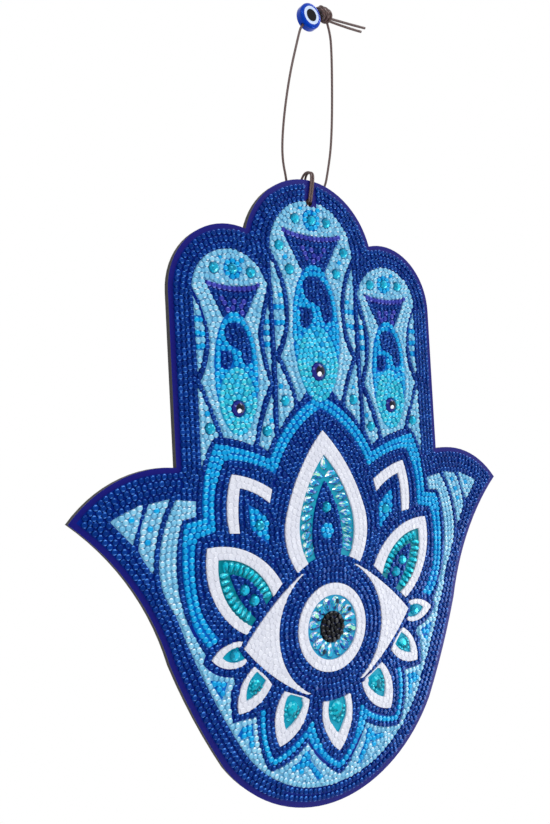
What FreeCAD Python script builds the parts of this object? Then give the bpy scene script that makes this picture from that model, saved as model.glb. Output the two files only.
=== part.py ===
"""Hamsa hand ornament: a laser-cut hand of thin board, faced with a printed sheet, rows of small round
resin drills and set gems, hung on a waxed cord that carries one flat eye bead.

Frame: millimetres, X to the right, Y into the back of the hand, Z up. The origin is the crown of the
cord's loop, where a nail or hook carries the ornament. The hand's front faces -Y.
"""
import FreeCAD, Part
import math
import os
from FreeCAD import Placement, Rotation, Vector

os.makedirs("parts", exist_ok=True)
doc = FreeCAD.newDocument("hamsa_hand")

# Driving dimensions in millimetres and degrees. The spreadsheet holds them under these names.
SIZES = [
    ("hand_width", 260.6),
    ("hand_height", 305.6),
    ("board_thick", 3.0),
    ("sheet_thick", 0.15),
    ("bare_margin", 2.4),
    ("drill_pitch", 2.84),
    ("drill_high", 1.15),
    ("hang_hole_radius", 2.0),
    ("hang_hole_drop", 11.3),
    ("crown_rise", 79.9),
    ("crown_lean", 12.0),
    ("hitch_gap_width", 7.2),
    ("hitch_gap_shift", 1.0),
    ("pupil_radius", 7.7),
    ("iris_radius", 15.6),
    ("eye_ring_width", 5.7),
    ("eye_field_width", 11.3),
    ("petal_clearance", 2.6),
    ("middle_fish_length", 68.8),
    ("middle_fish_width", 29.6),
    ("side_fish_length", 57.4),
    ("side_fish_width", 23.8),
    ("middle_fish_eye_radius", 4.45),
    ("side_fish_eye_radius", 3.75),
    ("fish_eye_high", 2.4),
    ("dome_radius", 2.6),
    ("dome_high", 2.1),
    ("gem_seat_gap", 0.15),
    ("middle_rosette_radius", 5.5),
    ("side_rosette_radius", 4.8),
    ("petal_rosette_radius", 4.1),
    ("petal_drop_length", 6.4),
    ("petal_drop_width", 3.0),
    ("petal_drop_pitch", 4.4),
    ("iris_drop_length", 6.4),
    ("iris_drop_width", 2.9),
    ("iris_drop_pitch", 4.6),
    ("teal_drop_length", 4.3),
    ("teal_drop_width", 2.4),
    ("side_drop_pitch", 2.95),
    ("heart_drop_length", 8.2),
    ("heart_drop_width", 5.6),
    ("bud_drop_length", 3.0),
    ("bud_drop_width", 2.1),
    ("small_gem_high", 1.6),
    ("heart_gem_high", 2.2),
    ("cord_dia", 1.2),
    ("bead_radius", 6.25),
    ("bead_thick", 4.8),
    ("bead_rounding", 1.2),
    ("bead_bore_radius", 0.85),
    ("bead_white_radius", 4.5),
    ("bead_pupil_radius", 3.0),
    ("bead_inlay_deep", 0.7),
    ("bead_inlay_gap", 0.05),
    ("bead_tilt_deg", 50.0),
    ("knot_ring_radius", 2.35),
    ("knot_ring_step", 0.95),
    ("knot_bead_gap", 0.3),
]

sheet = doc.addObject("Spreadsheet::Sheet", "sizes")
for row, (name, value) in enumerate(SIZES, start=1):
    sheet.set(f"A{row}", name)
    sheet.set(f"B{row}", str(value))
    sheet.setAlias(f"B{row}", name)
doc.recompute()


def size(name):
    """One driving dimension, read back from the spreadsheet."""
    return float(sheet.get(name))


half_width = size("hand_width") / 2
hand_height = size("hand_height")
front_y = size("crown_lean")
back_y = front_y + size("board_thick")
sheet_front_y = front_y - size("sheet_thick")
hand_top_z = -size("crown_rise")
hand_bottom_z = hand_top_z - hand_height
cord_radius = size("cord_dia") / 2
eye_ring_radius = size("iris_radius") + size("eye_ring_width")
eye_field_radius = eye_ring_radius + size("eye_field_width")
TOWARD_VIEWER = Vector(0, -1, 0)
ON_AXIS = Vector(0, 0, 0)
SIDEWAYS = Vector(1, 0, 0)

# Outlines on the hand's front, right half. Each entry is (x, z) for a straight edge to that point, or
# (x, z, x, z) for an arc through the first point to the second. x is a share of the hand's half width
# and z is a share of its height above its lowest point.
HAND_EDGE_SHARES = [
    (0, 1), (0.165, 0.9797, 0.3, 0.904), (0.483, 0.896, 0.625, 0.798), (0.625, 0.546),
    (0.829, 0.535, 1, 0.483), (0.798, 0.386, 0.681, 0.273), (0.598, 0.191, 0.496, 0.11),
    (0.269, 0.027, 0, 0),
]
AZURE_BAND_SHARES = [
    (0, 0.624), (0.132, 0.585, 0.226, 0.524), (0.33, 0.544, 0.441, 0.551), (0.476, 0.517, 0.489, 0.47),
    (0.489, 0.448), (0.562, 0.443), (0.576, 0.391, 0.558, 0.339), (0.531, 0.317, 0.491, 0.295),
    (0.537, 0.284), (0.583, 0.312, 0.603, 0.335), (0.622, 0.398, 0.609, 0.466), (0.536, 0.47),
    (0.523, 0.527, 0.476, 0.577), (0.365, 0.567, 0.249, 0.549), (0.157, 0.603, 0.038, 0.64), (0, 0.64),
]
MIDDLE_FRAME_SHARES = [
    (0, 0.964), (0.141, 0.939, 0.2, 0.879), (0.193, 0.873), (0.145, 0.833, 0.127, 0.771),
    (0.141, 0.738, 0.174, 0.708), (0.136, 0.674, 0.107, 0.637), (0.094, 0.637), (0.061, 0.655),
    (0, 0.655),
]
SIDE_FRAME_SHARES = [
    (0.536, 0.807), (0.376, 0.869, 0.221, 0.818), (0.25, 0.777, 0.271, 0.744),
    (0.259, 0.705, 0.231, 0.665), (0.279, 0.622, 0.307, 0.578), (0.318, 0.571),
    (0.376, 0.58, 0.437, 0.585), (0.475, 0.624, 0.518, 0.668), (0.487, 0.696, 0.476, 0.722),
    (0.488, 0.761, 0.536, 0.807),
]
MIDDLE_LEAF_UPPER_SHARES = [
    (0.2, 0.862), (0.161, 0.825, 0.147, 0.787), (0.158, 0.748, 0.193, 0.716),
]
MIDDLE_LEAF_LOWER_SHARES = [
    (0.193, 0.701), (0.15, 0.667, 0.124, 0.633), (0.126, 0.627), (0.159, 0.614, 0.199, 0.592),
]
INNER_LEAF_UPPER_SHARES = [
    (0.219, 0.789), (0.239, 0.764, 0.248, 0.738), (0.241, 0.71, 0.22, 0.677),
]
INNER_LEAF_LOWER_SHARES = [
    (0.222, 0.649), (0.259, 0.614, 0.292, 0.571), (0.253, 0.561), (0.223, 0.584),
]
OUTER_LEAF_UPPER_SHARES = [
    (0.533, 0.794), (0.5, 0.762, 0.493, 0.735), (0.502, 0.708, 0.528, 0.68),
]
OUTER_LEAF_LOWER_SHARES = [
    (0.531, 0.662), (0.493, 0.627, 0.462, 0.59), (0.464, 0.587), (0.483, 0.582),
    (0.511, 0.562, 0.532, 0.54),
]
THUMB_TIP_PANEL_SHARES = [
    (0.866, 0.481), (0.806, 0.492, 0.752, 0.499), (0.771, 0.471, 0.793, 0.446),
    (0.825, 0.461, 0.866, 0.481),
]
THUMB_PANEL_SHARES = [
    (0.731, 0.499), (0.655, 0.503), (0.705, 0.456, 0.728, 0.403), (0.76, 0.424), (0.774, 0.437),
    (0.761, 0.47, 0.731, 0.499),
]
LOWER_FIELD_SHARES = [
    (0.558, 0.496), (0.634, 0.501), (0.683, 0.46, 0.706, 0.414), (0.695, 0.376, 0.655, 0.342),
    (0.624, 0.306), (0.537, 0.221, 0.43, 0.134), (0.238, 0.054, 0, 0.029), (0, 0.04),
    (0.078, 0.067, 0.144, 0.106), (0.223, 0.089, 0.315, 0.083), (0.351, 0.121, 0.361, 0.17),
    (0.457, 0.171), (0.464, 0.195), (0.457, 0.219), (0.441, 0.225), (0.445, 0.236),
    (0.51, 0.245, 0.563, 0.267), (0.549, 0.277), (0.591, 0.308, 0.622, 0.34),
    (0.644, 0.401, 0.616, 0.471), (0.562, 0.474),
]
CHEVRON_SHARES = [
    (0.414, 0.53), (0.334, 0.521, 0.248, 0.502), (0.261, 0.482), (0.322, 0.499, 0.385, 0.509),
    (0.396, 0.476, 0.394, 0.442), (0.434, 0.444), (0.44, 0.483, 0.414, 0.53),
]
DIAMOND_SHARES = [
    (0.35, 0.483), (0.307, 0.472, 0.269, 0.456), (0.27, 0.419), (0.311, 0.434, 0.345, 0.448),
]
TOP_PETAL_SHARES = [
    (0, 0.589), (0.112, 0.53, 0.193, 0.453), (0.195, 0.411, 0.15, 0.368), (0, 0.368),
]
TOP_PETAL_BAND_SHARES = [
    (0, 0.55), (0.071, 0.511, 0.127, 0.456), (0.132, 0.417, 0.094, 0.375), (0, 0.375),
]
TOP_PETAL_CORE_SHARES = [
    (0, 0.508), (0.045, 0.474, 0.071, 0.43), (0.0718, 0.407, 0.056, 0.378), (0, 0.378),
]
SIDE_PETAL_SHARES = [
    (0.526, 0.427), (0.365, 0.414, 0.224, 0.357), (0.388, 0.293), (0.507, 0.348, 0.526, 0.427),
]
SIDE_PETAL_BAND_SHARES = [
    (0.486, 0.408), (0.365, 0.393, 0.262, 0.336), (0.355, 0.301), (0.46, 0.345, 0.486, 0.408),
]
SIDE_PETAL_CORE_SHARES = [
    (0.441, 0.384), (0.366, 0.3717, 0.2955, 0.3295), (0.3395, 0.3118), (0.4075, 0.3485, 0.441, 0.384),
]
BUD_PETAL_SHARES = [
    (0.53, 0.268), (0.467, 0.284, 0.404, 0.284), (0.42, 0.274), (0.391, 0.255), (0.401, 0.251),
    (0.464, 0.25, 0.53, 0.268),
]
BUD_PETAL_BAND_SHARES = [
    (0.489, 0.268), (0.453, 0.277, 0.411, 0.278), (0.393, 0.259), (0.437, 0.2565, 0.489, 0.268),
]
OUTER_PETAL_SHARES = [
    (0.363, 0.243), (0.413, 0.223, 0.434, 0.182), (0.358, 0.187, 0.292, 0.211),
    (0.324, 0.229, 0.363, 0.243),
]
OUTER_PETAL_BAND_SHARES = [
    (0.351, 0.236), (0.385, 0.224, 0.401, 0.197), (0.356, 0.203, 0.314, 0.219),
]
INNER_PETAL_SHARES = [
    (0.238, 0.195), (0.283, 0.162, 0.271, 0.116), (0.188, 0.13, 0.13, 0.171), (0.136, 0.175),
]
INNER_PETAL_BAND_SHARES = [
    (0.228, 0.186), (0.248, 0.165, 0.241, 0.137), (0.193, 0.148, 0.158, 0.165), (0.158, 0.177),
    (0.212, 0.188),
]
BOTTOM_PETAL_SHARES = [
    (0, 0.164), (0.061, 0.165), (0.072, 0.136, 0.048, 0.103), (0.028, 0.089, 0, 0.078),
]
BOTTOM_PETAL_BAND_SHARES = [
    (0, 0.162), (0.035, 0.162), (0.045, 0.146, 0.04, 0.128), (0.012, 0.11), (0, 0.105),
]
LOWER_BAND_SHARES = [
    (0, 0.06), (0.063, 0.084, 0.109, 0.124), (0.118, 0.138), (0.13, 0.134), (0.207, 0.111, 0.297, 0.1),
    (0.318, 0.129, 0.321, 0.177), (0.343, 0.177), (0.345, 0.133, 0.31, 0.091),
    (0.226, 0.097, 0.145, 0.115), (0.088, 0.078, 0, 0.047),
]
SCROLL_UPPER_SHARES = [
    (0.537, 0.24), (0.468, 0.232), (0.476, 0.224), (0.495, 0.208), (0.526, 0.23),
]
SCROLL_MIDDLE_SHARES = [
    (0.441, 0.151), (0.418, 0.162), (0.376, 0.162), (0.376, 0.128), (0.395, 0.128), (0.398, 0.145),
    (0.426, 0.144),
]
SCROLL_LOWER_SHARES = [
    (0.223, 0.079), (0.184, 0.082), (0.161, 0.095), (0.138, 0.095), (0.134, 0.077), (0.081, 0.047),
    (0.107, 0.044), (0.15, 0.072), (0.223, 0.072),
]

# The almond of the eye's white, in shares of the eye field's radius about its centre.
EYE_WHITE_SHARES = [
    (0, 0.868), (0.537, 0.868), (1.089, 0.485, 1.595, 0), (1.089, -0.515, 0.552, -0.874), (0, -0.874),
]
# How much larger than the almond the petals keep clear of, as a share of it.
ALMOND_CLEAR_SHARE = 1.03

# Single places on the hand's front, in shares of the half width and the height again.
EYE_SHARE = (0, 0.273)
HANG_SHARE_X = 0
AXIS_DOMES_SHARES = [(0.003, 0.933), (0.003, 0.465)]
PAIRED_DOMES_SHARES = [
    (0.076, 0.932), (0.157, 0.885), (0.114, 0.848), (0.367, 0.839), (0.444, 0.838), (0.290, 0.836),
    (0.167, 0.638), (0.490, 0.599), (0.252, 0.592), (0.384, 0.358), (0.345, 0.340), (0.306, 0.450),
    (0.437, 0.267),
]
PETAL_ROSETTE_SHARE = (0, 0.427)
FISH_SHARES = {"middle": (0, 0.635), "right": (0.370, 0.586), "left": (-0.370, 0.586)}
MIDDLE_BARS_SHARES = [0.786, 0.761]
INNER_BARS_SHARES = [0.761, 0.744, 0.726]
OUTER_BARS_SHARES = [0.760, 0.738, 0.719]

# Rows of set gems: the line their middles follow (start, through, end), how many, and the turn in
# degrees that raises each gem's outer end.
TOP_PETAL_ROW_SHARES = [(0.031, 0.516), (0.090, 0.464), (0.0925, 0.3975)]
SIDE_PETAL_UPPER_ROW_SHARES = [(0.457, 0.3975), (0.366, 0.383), (0.289, 0.3435)]
SIDE_PETAL_LOWER_ROW_SHARES = [(0.466, 0.384), (0.4385, 0.3465), (0.3755, 0.317)]
TOP_PETAL_TIP_SHARE = (0, 0.529)
TOP_DROP_TURN_DEG = 20

# The large drop in each lower petal: its round end's middle, the point that its tip looks at, and
# its size as a share of the large drop's.
HEART_SHARES = [
    ((0, 0.147), (0, 0.105), 1),
    ((0.205, 0.1685), (0.240, 0.137), 0.90),
    ((0.356, 0.219), (0.401, 0.197), 0.70),
]
# Small drops round a large one: along its axis and across it, in shares of the large drop's length.
BUD_RING_SHARES = [(0.02, 0.49), (0.30, 0.45), (0.56, 0.32)]

# One fish in shares of its own half width and length, upright, from its lowest point.
FISH_TAIL_SHARES = [(-1.30, 1.246), (0, 1.208, 1.30, 1.246), (0.50, 0.950), (-0.50, 0.950)]
FISH_BACK_SHARES = [
    (-0.459, 0.862), (-0.270, 0.906), (0.203, 0.910), (0.473, 0.855), (0.662, 0.767), (0.730, 0.673),
    (0.696, 0.593), (0.439, 0.571), (0.284, 0.608), (0.223, 0.690), (-0.270, 0.734), (-0.459, 0.775),
]
FISH_FLANK_SHARES = [
    (-0.662, 0.680), (-0.203, 0.677), (-0.122, 0.615), (-0.236, 0.561), (-0.439, 0.531), (-0.689, 0.549),
]
FISH_BELLY_CENTRE_SHARE = 0.210
FISH_BELLY_WIDTH_SHARE = 0.900
FISH_BELLY_LENGTH_SHARE = 0.343
FISH_EYE_SHARE = 0.220

# The cord's routes, as points along its middle in the ornament's frame. They are the photographed
# lie of a springy waxed cord: both strands bow out, then lean forward to the bead and the knot.
LEFT_STRAND_ROUTE = [
    (2.47, 0.90, 3.38), (-7.56, 0.90, -8.57), (-8.50, 1.25, -10.70), (-9.60, 2.70, -16.50),
    (-12.40, 5.60, -30.50), (-14.20, 9.00, -47.00), (-14.60, 12.00, -61.50), (-13.60, 14.00, -71.50),
    (-10.93, 15.43, -79.07),
]
RIGHT_STRAND_ROUTE = [
    (8.90, 0.90, -2.00), (11.20, 1.50, -6.80), (12.90, 3.20, -15.00), (14.60, 6.00, -29.00),
    (16.20, 9.50, -47.00), (16.50, 12.00, -61.00), (15.50, 14.00, -71.50), (14.43, 15.43, -79.03),
]
LEFT_BACK_ROUTE = [
    (-0.65, 13.83, -91.20), (-0.65, 16.50, -91.20), (0.68, 16.50, -87.60), (0.72, 19.90, -85.00),
    (-3.40, 20.60, -84.20), (-8.60, 18.40, -83.60), (-10.60, 15.60, -80.00),
]
RIGHT_BACK_ROUTE = [
    (0.65, 13.83, -91.20), (0.65, 16.50, -91.20), (1.98, 16.50, -87.60), (2.02, 19.90, -85.00),
    (5.80, 20.60, -84.20), (12.00, 18.40, -83.60), (14.30, 15.60, -80.00),
]
BIGHT_ROUTE = [
    (-0.65, 13.83, -91.20), (-0.65, 11.15, -91.20), (1.60, 11.15, -80.50), (2.00, 11.40, -75.40),
    (1.60, 16.60, -74.40), (0.20, 19.20, -80.50), (-1.00, 18.00, -89.00), (3.20, 18.00, -89.00),
    (3.40, 19.20, -80.50), (2.90, 16.60, -74.40), (3.30, 11.40, -75.40), (2.90, 11.15, -80.50),
    (0.65, 11.15, -91.20), (0.65, 13.83, -91.20),
]
UPPER_TAIL_ROUTE = [(10.20, 0.40, 0.30), (22.50, 0.30, 0.85), (34.00, 0.10, 1.80)]
LOWER_TAIL_ROUTE = [(10.30, 0.80, -1.10), (21.30, 0.60, -1.35), (31.50, 0.50, -0.60)]
BEAD_POINT = (-2.80, 0.90, -2.90)
KNOT_POINT = (6.50, 0.30, 1.00)
# A tangent arc takes this share of the shorter run beside its corner.
RUN_SHARE = 0.45


BEAD_CENTRE = Vector(*BEAD_POINT)
KNOT_CENTRE = Vector(*KNOT_POINT)


def spot(x_share, z_share):
    """A point on the printed sheet's front."""
    return Vector(x_share * half_width, sheet_front_y, hand_bottom_z + z_share * hand_height)


def eye_spot(x_share, z_share):
    """A point on the printed sheet's front, in shares of the eye field's radius."""
    return spot(*EYE_SHARE) + Vector(x_share, 0, z_share) * eye_field_radius


def edges_through(shares, place):
    """Straight and arc edges through a table's points, open at the end."""
    last = place(*shares[0])
    edges = []
    for entry in shares[1:]:
        end = place(*entry[-2:])
        if len(entry) == 4:
            edges.append(Part.Arc(last, place(*entry[:2]), end).toShape())
        else:
            edges.append(Part.LineSegment(last, end).toShape())
        last = end
    return edges, last


def closed_area(shares, place=spot):
    """The flat face inside a closed table of points."""
    edges, last = edges_through(shares, place)
    first = place(*shares[0])
    if last.distanceToPoint(first) > Part.Precision.confusion():
        edges.append(Part.LineSegment(last, first).toShape())
    return Part.Face(Part.Wire(edges))


def symmetric_area(shares, place=spot):
    """The face whose right half is a table that starts and ends on the hand's axis."""
    edges, _ = edges_through(shares, place)
    mirrored = [edge.mirror(ON_AXIS, SIDEWAYS) for edge in edges]
    return Part.Face(Part.Wire(Part.__sortEdges__(edges + mirrored)))


def both_sides(area):
    """An area on the right half and its mirror image."""
    return [area, area.mirror(ON_AXIS, SIDEWAYS)]


def disc_area(centre, radius):
    """A round face on the printed sheet's front."""
    circle = Part.Circle(centre, TOWARD_VIEWER, radius)
    return Part.Face(Part.Wire([circle.toShape()]))


def oval_area(centre, half_x, half_z):
    """An upright oval face on the printed sheet's front."""
    oval = Part.Ellipse(centre + Vector(0, 0, half_z), centre + Vector(half_x, 0, 0), centre)
    return Part.Face(Part.Wire([oval.toShape()]))


def without(areas, holes):
    """The areas with the holes cut out, as a list of faces."""
    base = Part.makeCompound(areas)
    if holes:
        base = base.cut(holes)
    return base.Faces


def within(areas, limits):
    """The parts of the areas that lie inside the limits."""
    return Part.makeCompound(areas).common(Part.makeCompound(limits)).Faces


def plate(name, areas, thick_name, direction=TOWARD_VIEWER):
    """Flat areas raised to a thickness from the spreadsheet, as one node."""
    flat = doc.addObject("Part::Feature", name + "_area")
    flat.Shape = Part.makeCompound(areas)
    raised = doc.addObject("Part::Extrusion", name)
    raised.Base = flat
    raised.DirMode = "Custom"
    raised.Dir = direction
    raised.setExpression("LengthFwd", "sizes." + thick_name)
    return keep(raised, name)


def solid_feature(name, shape):
    """A node whose shape is made here from sizes of the spreadsheet."""
    feature = doc.addObject("Part::Feature", name)
    feature.Shape = shape
    return keep(feature, name)


nodes = {}


def keep(feature, name):
    """Register a finished sub-part under its node name."""
    feature.Label = name
    nodes[name] = feature
    return feature


# The hand's blank: board and printed sheet share one outline and one hanging hole.
hand_area = symmetric_area(HAND_EDGE_SHARES)
hang_hole = Vector(HANG_SHARE_X, 0, hand_top_z - size("hang_hole_drop"))


def board():
    """The laser-cut board with its hanging hole."""
    flat = doc.addObject("Part::Feature", "board_area")
    flat.Shape = hand_area.translated(Vector(0, size("sheet_thick"), 0))
    blank = doc.addObject("Part::Extrusion", "board_blank")
    blank.Base = flat
    blank.DirMode = "Custom"
    blank.Dir = -TOWARD_VIEWER
    blank.setExpression("LengthFwd", "sizes.board_thick")
    drilled = doc.addObject("Part::Cut", "board")
    drilled.Base = blank
    drilled.Tool = hole_tool("board_hole")
    keep(drilled, "board")


def hole_tool(name):
    """A cylinder through the sheet and the board at the hanging hole."""
    tool = doc.addObject("Part::Cylinder", name)
    tool.setExpression("Radius", "sizes.hang_hole_radius")
    tool.setExpression("Height", "3 * sizes.board_thick")
    start_y = front_y - size("board_thick")
    tool.Placement = Placement(Vector(hang_hole.x, start_y, hang_hole.z), Rotation(Vector(0, 0, 1), -TOWARD_VIEWER))
    return tool


def printed_sheet():
    """The adhesive printed sheet on the board's front."""
    flat = doc.addObject("Part::Feature", "printed_sheet_area")
    flat.Shape = hand_area
    blank = doc.addObject("Part::Extrusion", "printed_sheet_blank")
    blank.Base = flat
    blank.DirMode = "Custom"
    blank.Dir = -TOWARD_VIEWER
    blank.setExpression("LengthFwd", "sizes.sheet_thick")
    drilled = doc.addObject("Part::Cut", "printed_sheet")
    drilled.Base = blank
    drilled.Tool = hole_tool("printed_sheet_hole")
    keep(drilled, "printed_sheet")


board()
printed_sheet()

# Places of the gems, the fish and the eye on the sheet.
eye_centre = spot(*EYE_SHARE)
dome_spots = [spot(*share) for share in AXIS_DOMES_SHARES]
for x_share, z_share in PAIRED_DOMES_SHARES:
    dome_spots += [spot(x_share, z_share), spot(-x_share, z_share)]
dome_seats = [disc_area(place, size("dome_radius") + size("gem_seat_gap")) for place in dome_spots]
rosettes = [
    disc_area(dome_spots[0], size("middle_rosette_radius")),
    disc_area(spot(*PAIRED_DOMES_SHARES[3]), size("side_rosette_radius")),
    disc_area(spot(-PAIRED_DOMES_SHARES[3][0], PAIRED_DOMES_SHARES[3][1]), size("side_rosette_radius")),
]
petal_rosette = [disc_area(spot(*PETAL_ROSETTE_SHARE), size("petal_rosette_radius"))]


def fish(side):
    """Areas of one fish: tail, tail's first row, body, dark patches, belly and the eye's place."""
    kind = "middle" if side == "middle" else "side"
    length = size(kind + "_fish_length")
    half = size(kind + "_fish_width") / 2
    low = spot(*FISH_SHARES[side])

    def place(x_share, z_share):
        return low + Vector(x_share * half, 0, z_share * length)

    body = oval_area(place(0, 1 / 2), half, length / 2)
    belly_half = FISH_BELLY_WIDTH_SHARE * half
    belly = oval_area(place(0, FISH_BELLY_CENTRE_SHARE), belly_half, FISH_BELLY_LENGTH_SHARE * length)
    tail = without([closed_area(FISH_TAIL_SHARES, place)], [body])
    lowered = [face.translated(Vector(0, 0, -size("drill_pitch"))) for face in tail]
    eye_radius = size(kind + "_fish_eye_radius")
    seat = disc_area(place(0, FISH_EYE_SHARE), eye_radius + size("gem_seat_gap"))
    patches = without([closed_area(FISH_BACK_SHARES, place), closed_area(FISH_FLANK_SHARES, place)], rosettes)
    belly_faces = within([belly], [body])
    return {
        "outline": [body] + tail,
        "tail_row": without(tail, lowered + rosettes),
        "tail_dark": without(within(tail, lowered), rosettes),
        "patches": patches,
        "belly": without(belly_faces, [seat] + patches + rosettes),
        "back": without([body], [belly, seat] + patches + rosettes),
        "eye": place(0, FISH_EYE_SHARE),
        "eye_radius": eye_radius,
    }


fishes = {side: fish(side) for side in FISH_SHARES}
fish_outlines = [face for item in fishes.values() for face in item["outline"]]


def fish_areas(key):
    """One kind of area, of all three fish."""
    return [face for item in fishes.values() for face in item[key]]


# Every motif's full outline, from the front of the priority order to its back.
eye_disc = disc_area(eye_centre, eye_field_radius)
almond = symmetric_area(EYE_WHITE_SHARES, eye_spot)
petal_stops = [disc_area(eye_centre, eye_field_radius + size("petal_clearance"))]
petal_stops += [almond.scaled(ALMOND_CLEAR_SHARE, eye_centre)]
azure_band = without([symmetric_area(AZURE_BAND_SHARES)], fish_outlines)
frames = [symmetric_area(MIDDLE_FRAME_SHARES)] + both_sides(closed_area(SIDE_FRAME_SHARES))
middle_leaves = both_sides(closed_area(MIDDLE_LEAF_UPPER_SHARES))
inner_leaves = both_sides(closed_area(INNER_LEAF_UPPER_SHARES))
outer_leaves = both_sides(closed_area(OUTER_LEAF_UPPER_SHARES))
low_leaves = []
for table in (MIDDLE_LEAF_LOWER_SHARES, INNER_LEAF_LOWER_SHARES, OUTER_LEAF_LOWER_SHARES):
    low_leaves += both_sides(closed_area(table))


def bars(leaves, z_shares):
    """One-drill-high bars across a pair of leaves."""
    high = size("drill_pitch")
    strips = []
    for z_share in z_shares:
        corner = spot(-1, z_share) - Vector(0, 0, high / 2)
        strips.append(Part.makePlane(2 * half_width, high, corner, TOWARD_VIEWER, Vector(1, 0, 0)))
    return within(leaves, strips)


leaf_bars = bars(middle_leaves, MIDDLE_BARS_SHARES)
leaf_bars += bars(inner_leaves, INNER_BARS_SHARES)
leaf_bars += bars(outer_leaves, OUTER_BARS_SHARES)
thumb_panels = both_sides(closed_area(THUMB_TIP_PANEL_SHARES)) + both_sides(closed_area(THUMB_PANEL_SHARES))
scrolls = []
for table in (SCROLL_UPPER_SHARES, SCROLL_MIDDLE_SHARES, SCROLL_LOWER_SHARES):
    scrolls += both_sides(closed_area(table))
lower_halves = both_sides(closed_area(LOWER_FIELD_SHARES))
lower_field = lower_halves[0].fuse(lower_halves[1]).removeSplitter().Faces
lower_band = [symmetric_area(LOWER_BAND_SHARES)]
chevrons = both_sides(closed_area(CHEVRON_SHARES))
diamonds = both_sides(closed_area(DIAMOND_SHARES))
eye_white = without([almond], [eye_disc])


class Petal:
    """A petal's outline, its gem band's outline and, where it has one, its dark core."""

    def __init__(self, outline, band, core=None):
        self.outline = without(outline, petal_stops)
        self.band = within(band, self.outline)
        self.core = within(core, self.band) if core else []
        self.white = without(self.outline, self.band)


petals = [
    Petal(
        [symmetric_area(TOP_PETAL_SHARES)],
        [symmetric_area(TOP_PETAL_BAND_SHARES)],
        [symmetric_area(TOP_PETAL_CORE_SHARES)],
    ),
    Petal(
        both_sides(closed_area(SIDE_PETAL_SHARES)),
        both_sides(closed_area(SIDE_PETAL_BAND_SHARES)),
        both_sides(closed_area(SIDE_PETAL_CORE_SHARES)),
    ),
    Petal(both_sides(closed_area(BUD_PETAL_SHARES)), both_sides(closed_area(BUD_PETAL_BAND_SHARES))),
    Petal(both_sides(closed_area(OUTER_PETAL_SHARES)), both_sides(closed_area(OUTER_PETAL_BAND_SHARES))),
    Petal(both_sides(closed_area(INNER_PETAL_SHARES)), both_sides(closed_area(INNER_PETAL_BAND_SHARES))),
    Petal([symmetric_area(BOTTOM_PETAL_SHARES)], [symmetric_area(BOTTOM_PETAL_BAND_SHARES)]),
]
petal_outlines = [face for petal in petals for face in petal.outline]
petal_whites = [face for petal in petals for face in petal.white]
petal_cores = [face for petal in petals for face in petal.core]
petal_bands = [face for petal in petals for face in petal.band]


def dome_shape(radius, high):
    """A domed cabochon, base on the plane y = 0, crown toward the viewer."""
    ball = (radius ** 2 + high ** 2) / (2 * high)
    half_angle = math.asin(radius / ball) / 2
    middle = Vector(ball * math.sin(half_angle), ball - high - ball * math.cos(half_angle), 0)
    rim = Vector(radius, 0, 0)
    crown = Vector(0, -high, 0)
    edges = [
        Part.LineSegment(Vector(0, 0, 0), rim).toShape(),
        Part.Arc(rim, middle, crown).toShape(),
        Part.LineSegment(crown, Vector(0, 0, 0)).toShape(),
    ]
    return Part.Face(Part.Wire(edges)).revolve(Vector(0, 0, 0), Vector(0, 1, 0), 360)


def drop_wire(radius, tip, y, scale):
    """A drop's outline: round about the origin, its tip along +X."""
    reach = math.acos(radius / tip)
    upper = Vector(radius * math.cos(reach), 0, radius * math.sin(reach))
    lower = Vector(upper.x, 0, -upper.z)
    point = Vector(tip, 0, 0)
    edges = [
        Part.Arc(upper, Vector(-radius, 0, 0), lower).toShape(),
        Part.LineSegment(lower, point).toShape(),
        Part.LineSegment(point, upper).toShape(),
    ]
    wire = Part.Wire(edges)
    wire.scale(scale)
    wire.translate(Vector(0, y, 0))
    return wire


# A cut drop is upright for this share of its height, then narrows to this share of its outline.
DROP_WALL_SHARE = 0.4
DROP_TABLE_SHARE = 0.5


def drop_shape(length, width, high):
    """A cut drop gem on the plane y = 0, round end about the origin, tip along +X."""
    radius = width / 2
    tip = length - radius
    rings = [
        drop_wire(radius, tip, 0, 1),
        drop_wire(radius, tip, -high * DROP_WALL_SHARE, 1),
        drop_wire(radius, tip, -high, DROP_TABLE_SHARE),
    ]
    return Part.makeLoft(rings, True, True)


def set_gem(shape, place, direction):
    """A copy of a gem, set on the sheet with its tip along a direction in the sheet's plane."""
    gem = shape.copy()
    gem.Placement = Placement(place, Rotation(Vector(1, 0, 0), direction))
    return gem


def drop_row(shape, length, row_shares, pitch, inward, turn_deg):
    """Drops in a row, each across the row's line with its middle on it."""
    start, through, end = [spot(*share) for share in row_shares]
    curve = Part.Arc(start, through, end).toShape()
    gems = []
    for place in curve.discretize(Number=1 + round(curve.Length / pitch)):
        tangent = curve.tangentAt(curve.Curve.parameter(place))
        across = tangent.cross(TOWARD_VIEWER).normalize()
        if across.dot(inward - place) < 0:
            across = -across
        tip_way = Rotation(Vector(0, 1, 0), turn_deg).multVec(across)
        gems.append(set_gem(shape, place - tip_way * (length - shape.BoundBox.ZLength) / 2, tip_way))
    return gems


def mirrored_gems(gems):
    """The gems and their mirror images."""
    return gems + [gem.mirror(ON_AXIS, SIDEWAYS) for gem in gems]


def petal_drops():
    """Iridescent drops round the top petal's core, and one at its tip."""
    length = size("petal_drop_length")
    shape = drop_shape(length, size("petal_drop_width"), size("small_gem_high"))
    core_middle = spot(*PETAL_ROSETTE_SHARE)
    pitch = size("petal_drop_pitch")
    row = drop_row(shape, length, TOP_PETAL_ROW_SHARES, pitch, core_middle, TOP_DROP_TURN_DEG)
    tip = set_gem(shape, spot(*TOP_PETAL_TIP_SHARE), Vector(0, 0, 1))
    return mirrored_gems(row) + [tip]


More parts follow.
